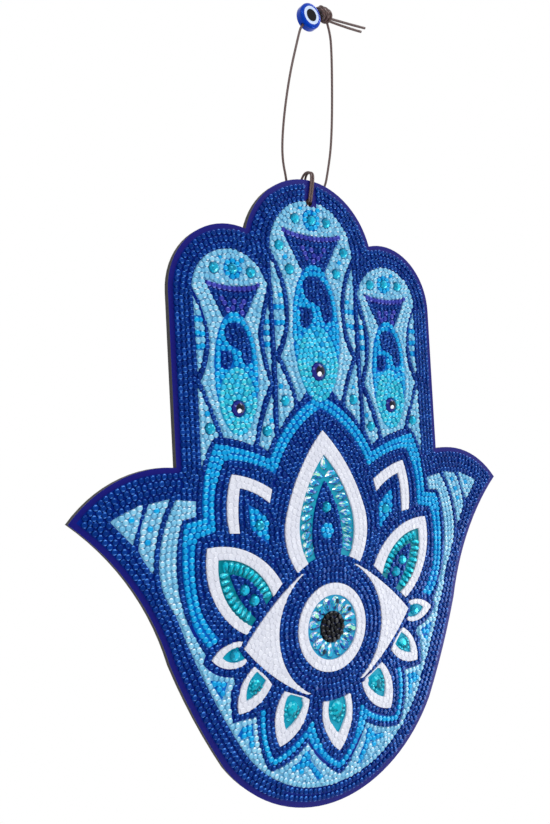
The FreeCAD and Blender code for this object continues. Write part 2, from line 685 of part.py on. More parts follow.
def iris_drops():
    """Iridescent drops round the pupil, tips toward it."""
    length = size("iris_drop_length")
    radius = size("iris_drop_width") / 2
    shape = drop_shape(length, size("iris_drop_width"), size("small_gem_high"))
    middle = (size("iris_radius") + size("pupil_radius")) / 2
    seat = middle + (length - 2 * radius) / 2
    count = round(2 * math.pi * middle / size("iris_drop_pitch"))
    gems = []
    for turn in range(count):
        angle = 2 * math.pi * (turn + 1 / 2) / count
        outward = Vector(math.cos(angle), 0, math.sin(angle))
        gems.append(set_gem(shape, eye_centre + outward * seat, -outward))
    return gems


def side_petal_drops():
    """Teal drops laid across both arms of each side petal's band."""
    length = size("teal_drop_length")
    shape = drop_shape(length, size("teal_drop_width"), size("small_gem_high"))
    inward = spot(*PAIRED_DOMES_SHARES[9])
    pitch = size("side_drop_pitch")
    upper = drop_row(shape, length, SIDE_PETAL_UPPER_ROW_SHARES, pitch, inward, 0)
    lower = drop_row(shape, length, SIDE_PETAL_LOWER_ROW_SHARES, pitch, inward, 0)
    return mirrored_gems(upper + lower)


def heart_gems():
    """The large drops of the lower petals and the ring of small ones round each."""
    hearts = []
    buds = []
    for seat_share, tip_share, size_share in HEART_SHARES:
        length = size("heart_drop_length") * size_share
        width = size("heart_drop_width") * size_share
        bud_width = size("bud_drop_width") * size_share
        heart = drop_shape(length, width, size("heart_gem_high"))
        bud = drop_shape(size("bud_drop_length") * size_share, bud_width, size("small_gem_high"))
        seat = spot(*seat_share)
        along = (spot(*tip_share) - seat).normalize()
        across = along.cross(TOWARD_VIEWER)
        large = [set_gem(heart, seat, along)]
        tip_reach = length - width / 2 + bud_width / 2 + size("gem_seat_gap")
        small = [set_gem(bud, seat + along * tip_reach, along)]
        for along_share, across_share in BUD_RING_SHARES:
            for side in (-1, 1):
                way = across * side
                place = seat + along * (along_share * length) + way * (across_share * length)
                small.append(set_gem(bud, place, (way + along).normalize()))
        if seat_share[0] > 0:
            large = mirrored_gems(large)
            small = mirrored_gems(small)
        hearts += large
        buds += small
    return hearts, buds


petal_drop_set = petal_drops()
iris_drop_set = iris_drops()
side_drop_set = side_petal_drops()
heart_set, bud_set = heart_gems()


def seats_of(gems):
    """The faces with which gems stand on the sheet."""
    touch = Part.Precision.confusion()
    faces = [face for gem in gems for face in gem.Faces]
    return [face for face in faces if face.BoundBox.YMin > sheet_front_y - touch]


gem_seats = dome_seats + seats_of(petal_drop_set + iris_drop_set + side_drop_set + heart_set + bud_set)

def hitch_gap():
    """The strip round the hanging hole that is left bare under the cord."""
    wide = size("hitch_gap_width")
    low_z = hang_hole.z - wide / 3
    left_x = hang_hole.x + size("hitch_gap_shift") - wide / 2
    corner = Vector(left_x, sheet_front_y, low_z)
    return Part.makePlane(wide, hand_top_z - low_z, corner, TOWARD_VIEWER, Vector(1, 0, 0))


drilled_area = hand_area.makeOffset2D(-size("bare_margin"))
covered = without([drilled_area], [hitch_gap()])
frame_fields = without(frames, fish_outlines + rosettes)
ground_holes = fish_outlines + azure_band + frames + middle_leaves + inner_leaves + outer_leaves + low_leaves
ground_holes += thumb_panels + lower_field + lower_band + chevrons + diamonds + eye_white
ground_holes += petal_outlines + [disc_area(eye_centre, eye_ring_radius)]
ground_holes += rosettes
eye_ring = without([disc_area(eye_centre, eye_ring_radius)], [disc_area(eye_centre, size("iris_radius"))])

# Fields of round drills, one node for each colour of each motif.
FIELDS = {
    "drills_navy_ground": without(covered, ground_holes),
    "drills_navy_fish": fish_areas("tail_dark") + fish_areas("patches"),
    "drills_navy_petals": without(petal_cores, petal_rosette),
    "drills_violet_tails": fish_areas("tail_row"),
    "drills_azure_fish": fish_areas("back"),
    "drills_turquoise_fish": fish_areas("belly"),
    "drills_light_blue_frames": within(frame_fields, covered),
    "drills_light_blue_leaves": without(middle_leaves + inner_leaves + outer_leaves + low_leaves, leaf_bars),
    "drills_azure_leaf_bars": leaf_bars,
    "drills_azure_band": azure_band,
    "drills_azure_lower_band": lower_band,
    "drills_azure_diamonds": diamonds,
    "drills_azure_scrolls": scrolls,
    "drills_azure_rosettes": rosettes + petal_rosette,
    "drills_light_blue_thumbs": thumb_panels,
    "drills_light_blue_lower": without(lower_field, scrolls + lower_band),
    "drills_white_eye": eye_white,
    "drills_white_ring": eye_ring,
    "drills_white_chevrons": chevrons,
    "drills_white_petals": petal_whites,
    "drills_black_pupil": [disc_area(eye_centre, size("pupil_radius"))],
}
for name, areas in FIELDS.items():
    plate(name, without(areas, gem_seats), "drill_high")


dome = dome_shape(size("dome_radius"), size("dome_high"))
solid_feature("gems_domes", Part.makeCompound([dome.translated(place) for place in dome_spots]))
solid_feature("gems_petal_drops", Part.makeCompound(petal_drop_set))
solid_feature("gems_iris_drops", Part.makeCompound(iris_drop_set))
solid_feature("gems_side_petal_drops", Part.makeCompound(side_drop_set))
solid_feature("gems_lower_petal_drops", Part.makeCompound(heart_set))
solid_feature("gems_lower_petal_buds", Part.makeCompound(bud_set))
for side, item in fishes.items():
    eye = dome_shape(item["eye_radius"], size("fish_eye_high"))
    feature = solid_feature("fish_eye_" + side, eye)
    feature.Placement = Placement(item["eye"], Rotation())


def bead_body():
    """The flat glass bead: a rounded disc with a recess for the eye and a bore across its width."""
    radius = size("bead_radius")
    half = size("bead_thick") / 2
    rounding = size("bead_rounding")
    body = doc.addObject("PartDesign::Body", "bead_glass")
    planes = {item.Role: item for item in body.Origin.OriginFeatures}
    profile = body.newObject("Sketcher::SketchObject", "bead_profile")
    profile.AttachmentSupport = [(planes["XY_Plane"], "")]
    profile.MapMode = "FlatFace"
    chamfer = rounding * (1 - math.sqrt(1 / 2))
    corners = [
        (Vector(radius - rounding, -half, 0), Vector(radius - chamfer, chamfer - half, 0)),
        (Vector(radius - rounding, half, 0), Vector(radius - chamfer, half - chamfer, 0)),
    ]
    low_end = Vector(radius, rounding - half, 0)
    high_end = Vector(radius, half - rounding, 0)
    axis_low = Vector(0, -half, 0)
    axis_high = Vector(0, half, 0)
    profile.addGeometry(Part.LineSegment(axis_low, corners[0][0]))
    profile.addGeometry(Part.Arc(corners[0][0], corners[0][1], low_end))
    profile.addGeometry(Part.LineSegment(low_end, high_end))
    profile.addGeometry(Part.Arc(high_end, corners[1][1], corners[1][0]))
    profile.addGeometry(Part.LineSegment(corners[1][0], axis_high))
    profile.addGeometry(Part.LineSegment(axis_high, axis_low))
    disc = body.newObject("PartDesign::Revolution", "bead_disc")
    disc.Profile = profile
    disc.ReferenceAxis = (profile, ["V_Axis"])
    disc.Angle = 360
    bore_sketch = body.newObject("Sketcher::SketchObject", "bead_bore_circle")
    bore_sketch.AttachmentSupport = [(planes["YZ_Plane"], "")]
    bore_sketch.MapMode = "FlatFace"
    bore_sketch.addGeometry(Part.Circle(Vector(0, 0, 0), Vector(0, 0, 1), size("bead_bore_radius")))
    bore = body.newObject("PartDesign::Pocket", "bead_bore")
    bore.Profile = bore_sketch
    bore.Type = "ThroughAll"
    bore.Midplane = True
    recess_sketch = body.newObject("Sketcher::SketchObject", "bead_recess_circle")
    recess_sketch.AttachmentSupport = [(planes["XZ_Plane"], "")]
    recess_sketch.MapMode = "FlatFace"
    recess_sketch.AttachmentOffset = Placement(Vector(0, 0, half), Rotation())
    recess_sketch.addGeometry(Part.Circle(Vector(0, 0, 0), Vector(0, 0, 1), size("bead_white_radius")))
    recess = body.newObject("PartDesign::Pocket", "bead_recess")
    recess.Profile = recess_sketch
    recess.setExpression("Length", "sizes.bead_inlay_deep")
    body.Tip = recess
    return keep(body, "bead_glass")


bead_turn = Rotation(Vector(0, 1, 0), -size("bead_tilt_deg"))
bore_way = bead_turn.multVec(Vector(1, 0, 0))


def inlay(name, outer_name, inner_name=None):
    """A disc or ring that fills the bead's recess."""
    deep = size("bead_inlay_deep")
    gap = size("bead_inlay_gap")
    start = BEAD_CENTRE + TOWARD_VIEWER * (size("bead_thick") / 2 - deep + gap)
    outer = Part.makeCylinder(size(outer_name) - gap, deep - gap, start, TOWARD_VIEWER)
    if inner_name:
        outer = outer.cut(Part.makeCylinder(size(inner_name), deep - gap, start, TOWARD_VIEWER))
    return solid_feature(name, outer)


bead = bead_body()
bead.Placement = Placement(BEAD_CENTRE, bead_turn)
inlay("bead_white_ring", "bead_white_radius", "bead_pupil_radius")
inlay("bead_pupil", "bead_pupil_radius")


def cord_path(route):
    """Straight runs joined by tangent arcs, each arc as large as its two runs allow."""
    points = [Vector(*point) for point in route]
    edges = []
    radii = []
    last = points[0]
    for before, corner, after in zip(points, points[1:], points[2:]):
        way_in = (corner - before).normalize()
        way_out = (after - corner).normalize()
        turn = way_in.getAngle(way_out)
        tangent = RUN_SHARE * min((corner - before).Length, (after - corner).Length)
        radius = tangent / math.tan(turn / 2)
        start = corner - way_in * tangent
        end = corner + way_out * tangent
        to_centre = (way_out - way_in).normalize()
        middle = corner + to_centre * (radius / math.cos(turn / 2) - radius)
        edges.append(Part.LineSegment(last, start).toShape())
        edges.append(Part.Arc(start, middle, end).toShape())
        radii.append(radius)
        last = end
    edges.append(Part.LineSegment(last, points[-1]).toShape())
    return Part.Wire(edges), radii


def cord_tube(name, route):
    """The cord along one route, with its arcs' radii and its volume printed."""
    path, radii = cord_path(route)
    start = Vector(*route[0])
    way = (Vector(*route[1]) - start).normalize()
    section = Part.Wire([Part.Circle(start, way, cord_radius).toShape()])
    shell = Part.BRepOffsetAPI.MakePipeShell(path)
    shell.add(section)
    shell.build()
    shell.makeSolid()
    tube = shell.shape()
    expected = math.pi * cord_radius ** 2 * path.Length
    least = min(radii) if radii else math.inf
    print(f"{name}: length {path.Length:.1f}, least radius {least:.2f}, volume ratio {tube.Volume / expected:.4f}")
    return tube


def rounded_end(route):
    """Half a ball on the last end of a route, so that the end can turn about its middle."""
    end = Vector(*route[-1])
    way = (end - Vector(*route[-2])).normalize()
    return Part.makeSphere(cord_radius, end, way, 0, 90, 360)


cords = {
    "cord_left_strand": cord_tube("cord_left_strand", LEFT_STRAND_ROUTE),
    "cord_right_strand": cord_tube("cord_right_strand", RIGHT_STRAND_ROUTE),
    "cord_upper_tail": cord_tube("cord_upper_tail", UPPER_TAIL_ROUTE),
    "cord_lower_tail": cord_tube("cord_lower_tail", LOWER_TAIL_ROUTE),
}


def knot_shape():
    """An overhand knot of the doubled cord: three wraps side by side, hollowed for cord and bead."""
    wrap_radius = size("cord_dia")
    ring_radius = size("knot_ring_radius")
    row_way = Vector(math.cos(math.radians(20)), 0, -math.sin(math.radians(20)))
    wraps = []
    for place, lean_deg in ((-1, 50), (0, 0), (1, -50)):
        axis = Rotation(row_way, lean_deg).multVec(Vector(0, 0, 1))
        axis = Rotation(Vector(0, 1, 0), 55).multVec(axis)
        centre = KNOT_CENTRE + row_way * (place * size("knot_ring_step"))
        wraps.append(Part.makeTorus(ring_radius, wrap_radius, centre, axis))
    core = Part.makeSphere(ring_radius, KNOT_CENTRE)
    reach = size("bead_radius") + size("knot_bead_gap")
    hollow = [Part.makeSphere(reach, BEAD_CENTRE)] + list(cords.values())
    return core.fuse(wraps).cut(hollow).removeSplitter()


for name, tube in cords.items():
    solid_feature(name, tube)
solid_feature("cord_knot", knot_shape())
solid_feature("cord_bight", cord_tube("cord_bight", BIGHT_ROUTE))
for name, route in (("cord_back_left", LEFT_BACK_ROUTE), ("cord_back_right", RIGHT_BACK_ROUTE)):
    solid_feature(name, cord_tube(name, route).fuse(rounded_end(route)).removeSplitter())

doc.recompute()
for item in doc.Objects:
    if "Invalid" in item.State or "Error" in item.State:
        raise RuntimeError(f"{item.Name} failed: {item.State}")
for name, feature in nodes.items():
    shape = feature.Shape
    if shape.isNull() or not shape.isValid() or not shape.Solids:
        raise RuntimeError(f"{name} has no valid solid")
for name, feature in nodes.items():
    feature.Shape.exportStep(f"parts/{name}.step")
print(len(nodes), "nodes written")
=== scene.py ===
"""A hamsa hand wall ornament: a printed fibreboard hand covered in resin drills and set gems.

The hand hangs by a waxed cord that a glass eye bead and an overhand knot close at the top.
Shapes are in millimetres until a mesh is made. The camera, the lamps and the frame are in metres.
"""
import math

import bmesh
import bpy
import numpy as np
from mathutils import Matrix, Vector
from mathutils.bvhtree import BVHTree
from mathutils.geometry import convex_hull_2d


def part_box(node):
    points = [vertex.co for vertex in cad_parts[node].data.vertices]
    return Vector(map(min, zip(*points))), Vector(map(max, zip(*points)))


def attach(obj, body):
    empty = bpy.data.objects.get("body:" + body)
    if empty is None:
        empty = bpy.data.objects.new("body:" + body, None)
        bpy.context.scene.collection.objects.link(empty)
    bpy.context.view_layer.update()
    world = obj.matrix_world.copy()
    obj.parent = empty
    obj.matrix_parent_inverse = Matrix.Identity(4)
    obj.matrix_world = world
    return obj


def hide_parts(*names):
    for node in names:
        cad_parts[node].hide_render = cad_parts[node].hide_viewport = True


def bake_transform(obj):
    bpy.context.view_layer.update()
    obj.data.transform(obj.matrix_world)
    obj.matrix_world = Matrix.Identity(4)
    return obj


MM = 0.001

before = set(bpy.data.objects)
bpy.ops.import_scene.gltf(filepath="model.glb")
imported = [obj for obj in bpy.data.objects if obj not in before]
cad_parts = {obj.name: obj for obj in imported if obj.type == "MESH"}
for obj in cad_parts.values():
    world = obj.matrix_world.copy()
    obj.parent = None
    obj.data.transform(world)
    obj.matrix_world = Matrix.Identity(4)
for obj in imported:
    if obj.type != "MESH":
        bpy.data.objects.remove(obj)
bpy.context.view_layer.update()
scene = bpy.context.scene
rng = np.random.default_rng(7)


def to_millimetres(metres):
    """A length of the frame in millimetres, to a hundredth."""
    return round(metres / MM, 2)


# The planes of the printed sheet's front and of the drills' tops, and the height of the big eye's centre.
SHEET_Y = to_millimetres(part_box("printed_sheet")[0][1])
TOP_Y = to_millimetres(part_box("drills_navy_ground")[0][1])
MIDDLE_Y = (SHEET_Y + TOP_Y) / 2
EYE_Z = to_millimetres(sum(corner[2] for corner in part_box("drills_black_pupil")) / 2)


# Colours and materials

def linear(code):
    """An sRGB hex colour as linear red, green, blue and an alpha of one."""
    channels = [int(code[i:i + 2], 16) / 255 for i in (0, 2, 4)]
    return [c / 12.92 if c <= 0.04045 else ((c + 0.055) / 1.055) ** 2.4 for c in channels] + [1.0]


def scaled(colour, factor):
    """A linear colour, darker or lighter by a factor."""
    return [min(1.0, c * factor) for c in colour[:3]] + [1.0]


def add(owner, kind, links=None, **settings):
    """Adds one node to a material or world.

    settings are the node's properties or its inputs' values, and links are its inputs' sources.
    """
    node = owner.node_tree.nodes.new(kind)
    for name, value in settings.items():
        if hasattr(node, name):
            setattr(node, name, value)
        else:
            node.inputs[name.replace("_", " ")].default_value = value
    for name, source in (links or {}).items():
        owner.node_tree.links.new(source, node.inputs[name])
    return node


def new_material(name):
    """An empty node material with its output."""
    material = bpy.data.materials.new(name)
    material.use_nodes = True
    material.node_tree.nodes.clear()
    return material, material.node_tree.nodes.new("ShaderNodeOutputMaterial")


def finish_surface(material, output, shader):
    """Joins a shader to the material's output."""
    material.node_tree.links.new(shader.outputs[0], output.inputs["Surface"])
    return material


def object_noise(material, scale, detail=3.0):
    """Noise over Object coordinates. scale is in features per metre."""
    place = add(material, "ShaderNodeTexCoord")
    return add(
        material, "ShaderNodeTexNoise", {"Vector": place.outputs["Object"]}, Scale=scale, Detail=detail,
    )


def bump_from(material, height, strength, distance):
    """A bump whose height comes from a socket. distance is in metres."""
    return add(material, "ShaderNodeBump", {"Height": height}, Strength=strength, Distance=distance)


def between(material, factor, first, second):
    """The colour between first, where the factor's socket is 0, and second, where it is 1."""
    mixed = add(material, "ShaderNodeMix", {"Factor": factor}, data_type="RGBA")
    mixed.inputs["A"].default_value = first
    mixed.inputs["B"].default_value = second
    return mixed.outputs["Result"]


def compare(material, operation, value, limit):
    """1 where a socket's value is LESS_THAN or GREATER_THAN a limit, and 0 elsewhere."""
    test = add(material, "ShaderNodeMath", {0: value}, operation=operation)
    test.inputs[1].default_value = limit
    return test.outputs[0]


def drill_resin(name, dark, light, painted_highlight, gleam, roughness=0.2):
    """Moulded resin drill: dyed, slightly clear plastic, polished by its mould, some lighter, some darker.

    Light comes back through the dye, so its gleams are tinted. Bevels that face up or down get a painted
    highlight, a lighter base colour.
    """
    material, output = new_material(name)
    shade = add(material, "ShaderNodeAttribute", attribute_name="drill_tone_and_painted_highlight")
    ramp = add(material, "ShaderNodeValToRGB", {"Fac": shade.outputs["Fac"]})
    ramp.color_ramp.elements[0].color = linear(dark)
    # The last stop is the painted highlight of the bevels that face up or down.
    ramp.color_ramp.elements[1].color = linear(painted_highlight)
    ramp.color_ramp.elements.new(0.5).color = linear(light)
    # Grain of the moulded faces, 0.3 mm.
    grain = object_noise(material, 3300)
    bump = bump_from(material, grain.outputs["Fac"], 0.12, 0.0002)
    shader = add(
        material, "ShaderNodeBsdfPrincipled",
        {"Base Color": ramp.outputs["Color"], "Normal": bump.outputs["Normal"]},
        Roughness=roughness, IOR=1.5, Specular_Tint=linear(gleam),
    )
    return finish_surface(material, output, shader)


def printed_film(name, colour, gleam):
    """Printed film on the board: satin ink with a faint mottle of the adhesive below."""
    material, output = new_material(name)
    # Mottle of 4 mm, a tenth darker to a tenth lighter, as glue under film shows.
    mottle = object_noise(material, 250)
    ink = linear(colour)
    mottled = between(material, mottle.outputs["Fac"], scaled(ink, 0.9), scaled(ink, 1.1))
    bump = bump_from(material, mottle.outputs["Fac"], 0.15, 0.0003)
    shader = add(
        material, "ShaderNodeBsdfPrincipled", {"Base Color": mottled, "Normal": bump.outputs["Normal"]},
        Roughness=0.38, IOR=1.46, Specular_Tint=linear(gleam),
    )
    return finish_surface(material, output, shader)


def foil_gem(name, colours, gleam, coat, roughness=0.06):
    """Acrylic gem over a foil back: each facet shows a colour from dark to light, partly the foil's colours
    at random and partly painted highlight and shade by the way it faces.
    """
    material, output = new_material(name)
    shade = add(material, "ShaderNodeAttribute", attribute_name="foil_tone_and_painted_light")
    ramp = add(material, "ShaderNodeValToRGB", {"Fac": shade.outputs["Fac"]})
    ramp.color_ramp.interpolation = "CONSTANT"
    ramp.color_ramp.elements[0].color = linear(colours[0])
    ramp.color_ramp.elements[1].position = 1 / len(colours)
    ramp.color_ramp.elements[1].color = linear(colours[1])
    for number, colour in enumerate(colours[2:], 2):
        ramp.color_ramp.elements.new(number / len(colours)).color = linear(colour)
    shader = add(
        material, "ShaderNodeBsdfPrincipled", {"Base Color": ramp.outputs["Color"]},
        Roughness=roughness, IOR=1.49, Metallic=0.3, Specular_Tint=linear(gleam), Coat_Weight=coat,
        Coat_Roughness=0.03,
    )
    return finish_surface(material, output, shader)


# The print below a fish eye and its painted glint, a painted highlight, in shares of the eye's radius: the
# middles, in X and Z, and the radii.
PUPIL_PLACE = (0.0, 0.02)
PUPIL_RADIUS = 0.62
PAINTED_GLINT_PLACE = (-0.20, -0.30)
PAINTED_GLINT_RADIUS = 0.27


def eye_print(name):
    """Domed acrylic over print: a navy ring and a black pupil, with a white glint painted in as a
    highlight, under a polished crown.
    """
    material, output = new_material(name)
    from_pupil = add(material, "ShaderNodeAttribute", attribute_name="from_pupil")
    from_painted_glint = add(material, "ShaderNodeAttribute", attribute_name="from_painted_glint")
    in_pupil = compare(material, "LESS_THAN", from_pupil.outputs["Fac"], PUPIL_RADIUS)
    in_painted_glint = compare(material, "LESS_THAN", from_painted_glint.outputs["Fac"], PAINTED_GLINT_RADIUS)
    dark = between(material, in_pupil, linear("0E1478"), linear("050507"))
    # The white glint is a painted highlight in the base colour.
    lit = add(material, "ShaderNodeMix", {"Factor": in_painted_glint, "A": dark}, data_type="RGBA")
    lit.inputs["B"].default_value = linear("F4F6FA")
    shader = add(
        material, "ShaderNodeBsdfPrincipled", {"Base Color": lit.outputs["Result"]},
        Roughness=0.08, IOR=1.49, Specular_Tint=linear("B0B8F0"),
    )
    return finish_surface(material, output, shader)


def bead_glass(name, colour, gleam):
    """Lampwork glass: opaque coloured glass, fire polished, with faint swirls of the rod."""
    material, output = new_material(name)
    # Swirls of 2 mm from winding the glass rod.
    swirl = object_noise(material, 500, 4.0)
    glass = linear(colour)
    swirled = between(material, swirl.outputs["Fac"], scaled(glass, 0.82), scaled(glass, 1.15))
    shader = add(
        material, "ShaderNodeBsdfPrincipled", {"Base Color": swirled},
        Roughness=0.08, IOR=1.52, Specular_Tint=linear(gleam),
    )
    return finish_surface(material, output, shader)


def waxed_cotton(name, dark, light):
    """Waxed cotton cord: twisted yarns under wax, whose lays show as slanting lines along the cord."""
    material, output = new_material(name)
    place = add(material, "ShaderNodeUVMap", uv_map="cord_lay")
    # The map is in millimetres along and round the cord.
    lays = add(
        material, "ShaderNodeTexWave", {"Vector": place.outputs["UV"]},
        wave_type="BANDS", bands_direction="DIAGONAL", Scale=0.35, Distortion=0.6, Detail=1.0,
    )
    fuzz = object_noise(material, 2500)
    both = add(
        material, "ShaderNodeMath", {0: lays.outputs["Fac"], 1: fuzz.outputs["Fac"]}, operation="MULTIPLY",
    )
    yarn = between(material, both.outputs[0], linear(dark), linear(light))
    bump = bump_from(material, lays.outputs["Fac"], 0.12, 0.00012)
    shader = add(
        material, "ShaderNodeBsdfPrincipled", {"Base Color": yarn, "Normal": bump.outputs["Normal"]},
        Roughness=0.42, IOR=1.45, Coat_Weight=0.2, Coat_Roughness=0.3,
    )
    return finish_surface(material, output, shader)


def fibreboard(name):
    """Fibreboard: pressed wood fibre, tan on its faces and charred on the edge by the laser's cut."""
    material, output = new_material(name)
    # Fibres of 1.5 mm on the faces.
    fibre = object_noise(material, 650, 6.0)
    face = between(material, fibre.outputs["Fac"], linear("8A6B4A"), linear("B3936B"))
    # Scorch streaks run through the board's thickness, so the noise is stretched along Y.
    place = add(material, "ShaderNodeTexCoord")
    stretched = add(
        material, "ShaderNodeMapping", {"Vector": place.outputs["Object"]}, Scale=(1.0, 0.08, 1.0),
    )
    streak = add(
        material, "ShaderNodeTexNoise", {"Vector": stretched.outputs["Vector"]}, Scale=900.0, Detail=3.0,
    )
    scorched = between(material, streak.outputs["Fac"], linear("181819"), linear("3E3B3B"))
    parts = add(material, "ShaderNodeSeparateXYZ", {"Vector": place.outputs["Normal"]})
    size_y = add(material, "ShaderNodeMath", {0: parts.outputs["Y"]}, operation="ABSOLUTE")
    # The faces' normals lie along Y, and the edge's across it.
    is_face = compare(material, "GREATER_THAN", size_y.outputs[0], 0.7)
    wood = add(
        material, "ShaderNodeMix", {"Factor": is_face, "A": scorched, "B": face}, data_type="RGBA",
    )
    bump = bump_from(material, fibre.outputs["Fac"], 0.3, 0.0003)
    shader = add(
        material, "ShaderNodeBsdfPrincipled",
        {"Base Color": wood.outputs["Result"], "Normal": bump.outputs["Normal"]},
        Roughness=0.75, IOR=1.45,
    )
    return finish_surface(material, output, shader)


# Colours of a resin: dark, usual, painted highlight of the bevels that face up or down, and gleam, then its
# roughness where it isn't the usual.
NAVY = drill_resin("navy moulded resin", "001860", "022C7E", "508EE6", "4898FF", 0.16)
AZURE = drill_resin("azure moulded resin", "0086C6", "04A2DE", "78DCFF", "6CD4FF")
LIGHT_BLUE = drill_resin("light blue moulded resin", "50A2CC", "84C6E2", "ECF4FC", "DCF2FF")
WHITE = drill_resin("white moulded resin", "CCCEDA", "D8DAE4", "F4F4FA", "F4F4FF", 0.34)
TURQUOISE = drill_resin("turquoise moulded resin", "08A6D0", "30C4EA", "B4F4FF", "B0F0FF")
VIOLET = drill_resin("violet moulded resin", "222890", "383EA4", "8C9AF0", "8C9AFF")
SEA_GREEN = drill_resin("sea green moulded resin", "0A9EBC", "2CC0D6", "B0F4FA", "B0F0FF")
BLACK = drill_resin("black moulded resin", "020203", "07080B", "585C62", "84888E")

# Each slot's resin, and the print that shows between its drills.
RESINS = {
    "resin_navy": (NAVY, printed_film("print under navy", "04207C", "3060F0")),
    "resin_azure": (AZURE, printed_film("print under azure", "0668C0", "3060F0")),
    "resin_light_blue": (LIGHT_BLUE, printed_film("print under light_blue", "76B6D6", "C0E4FF")),
    "resin_white": (WHITE, printed_film("print under white", "D2D4DE", "F0F0FF")),
    "resin_turquoise": (TURQUOISE, printed_film("print under turquoise", "1C98C4", "90E0FF")),
    "resin_violet": (VIOLET, printed_film("print under violet", "141670", "3060F0")),
    "resin_black": (BLACK, printed_film("print under black", "0C0C10", "3060F0")),
}
ACCENT_RESINS = {"drills_azure_fish": TURQUOISE, "drills_navy_fish": VIOLET}

SHEET_INK = printed_film("indigo printed film", "18176C", "4450B8")
IRIS_INK = printed_film("cyan print of the iris", "1C9CC8", "70D0F0")
PETAL_INK = printed_film("sea green print of the tall petal", "0A92AE", "70D8E8")
SIDE_PETAL_INK = printed_film("teal print of the side petals", "007888", "40C0D0")
BUD_INK = printed_film("teal print of the small petals", "0096B4", "50D0E8")
BOARD = fibreboard("laser-cut fibreboard")
# Each gem's colours run from the painted shade of facets that face away from its light, through its foil's
# colours, to the painted highlight.
CLEAR_GEM = foil_gem(
    "iridescent foiled acrylic",
    ["041C38", "2C44A4", "1468B0", "0890C0", "1CAAD0", "98E6C0", "B0C4F8", "FFFFFF"], "80E4FF", 0.25,
)
TURQUOISE_GEM = foil_gem(
    "turquoise foiled acrylic",
    ["007C9E", "009CBE", "00ACD0", "04B2D6", "1EC0DE", "84E8F4"], "80F0FF", 0.22,
)
TEAL_GEM = foil_gem(
    "teal foiled acrylic",
    ["005670", "0088A0", "00A4BC", "00B0C8", "12C0D6", "64DEEE"], "60E8F0", 0.14, 0.14,
)
EYE_GEM = eye_print("domed acrylic eye")
CORD = waxed_cotton("dark brown waxed cotton", "44302E", "745C58")
# A darker copy of the cord, as painted shade on the knot, its tails and the hitch.
SHADE_DARKENED_CORD = waxed_cotton("dark brown waxed cotton, darkened as painted shade", "38221F", "6A4A47")
COBALT = bead_glass("cobalt lampwork glass", "0638A6", "2868FF")
PALE = bead_glass("pale blue lampwork glass", "C4D4F2", "F0F4FF")
INK_GLASS = bead_glass("black lampwork glass", "08080C", "505058")


# Meshes

def make_piece(name, points, faces, materials, material_index=None):
    """A mesh object at the origin from points in millimetres."""
    mesh = bpy.data.meshes.new(name)
    mesh.from_pydata((np.asarray(points) * MM).tolist(), [], [list(f) for f in faces])
    for material in materials:
        mesh.materials.append(material)
    if material_index is not None:
        mesh.polygons.foreach_set("material_index", np.asarray(material_index, np.int32))
    mesh.update()
    piece = bpy.data.objects.new(name, mesh)
    scene.collection.objects.link(piece)
    return piece


def set_values(piece, name, values, domain="POINT"):
    """Writes one number per point or face as an attribute that a material reads."""
    attribute = piece.data.attributes.new(name, "FLOAT", domain)
    attribute.data.foreach_set("value", np.asarray(values, np.float32))


def merged(node):
    """A CAD node's points in millimetres with doubles joined, and its triangles."""
    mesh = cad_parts[node].data
    points = np.empty(len(mesh.vertices) * 3)
    mesh.vertices.foreach_get("co", points)
    mesh.calc_loop_triangles()
    corners = np.empty(len(mesh.loop_triangles) * 3, np.int32)
    mesh.loop_triangles.foreach_get("vertices", corners)
    rounded = np.round(points.reshape(-1, 3) / MM, 4)
    single, place = np.unique(rounded, axis=0, return_inverse=True)
    triangles = place.reshape(-1)[corners].reshape(-1, 3)
    proper = (triangles[:, 0] != triangles[:, 1]) & (triangles[:, 1] != triangles[:, 2])
    proper &= triangles[:, 0] != triangles[:, 2]
    return single, triangles[proper]


def lumps(points, triangles):
    """A label per point that is the same all over one solid: the lowest label spreads along edges."""
    label = np.arange(len(points))
    while True:
        least = label[triangles].min(axis=1)
        spread = label.copy()
        np.minimum.at(spread, triangles.reshape(-1), np.repeat(least, 3))
        spread = spread[spread]
        if (spread == label).all():
            return label
        label = spread


def ring_faces(turns, sides):
    """Faces of stacked rings: triangles between rings and one closing face at each end, outward.

    turns holds each ring's turn in half steps. Where the upper ring is turned further, its corners stand
    over the middles of the lower ring's sides.
    """
    corner = np.arange(sides)
    after = (corner + 1) % sides
    faces = [list(corner[::-1])]
    for level in range(len(turns) - 1):
        a = level * sides
        b = a + sides
        if turns[level + 1] > turns[level]:
            lower = np.stack([a + corner, a + after, b + corner], axis=1)
            upper = np.stack([a + after, b + after, b + corner], axis=1)
        else:
            lower = np.stack([a + corner, a + after, b + after], axis=1)
            upper = np.stack([a + corner, b + after, b + corner], axis=1)
        faces += lower.tolist() + upper.tolist()
    faces.append(list((len(turns) - 1) * sides + corner))
    return faces


# The places of the drills

DRILL_RADIUS = 1.33
# Rows are this far apart where a field is wide. In a field narrower than WIDE_FIELD they share its width.
ROW_PITCH = 2.72
WIDE_FIELD = 15
# Drills are laid this far apart along a row, and no nearer than this across rows.
ALONG_ROW = 2.62
ACROSS_ROWS = 2.42
# A row may leave its place by this much, and a band has to be this wide for a row of trimmed drills.
ROW_SLACK = 0.3
LEAST_BAND = 1.5
# Places are tried on a grid with this step, and so are some too near the edge by up to this much.
GRID_STEP = 0.45
EDGE_SLACK = 0.2
# A drill may reach this far over its field's edge.
OVERHANG = 0.28
# A smaller drill fills a hole whose middle is this far from the drills round it and from the edge.
# It leaves its neighbours this much from their middles. No drill is smaller than this share of one.
FILL_REACH = 2.04
FILL_DEPTH = 1.0
FILL_ROOM = 1.12
LEAST_SHARE = 0.68


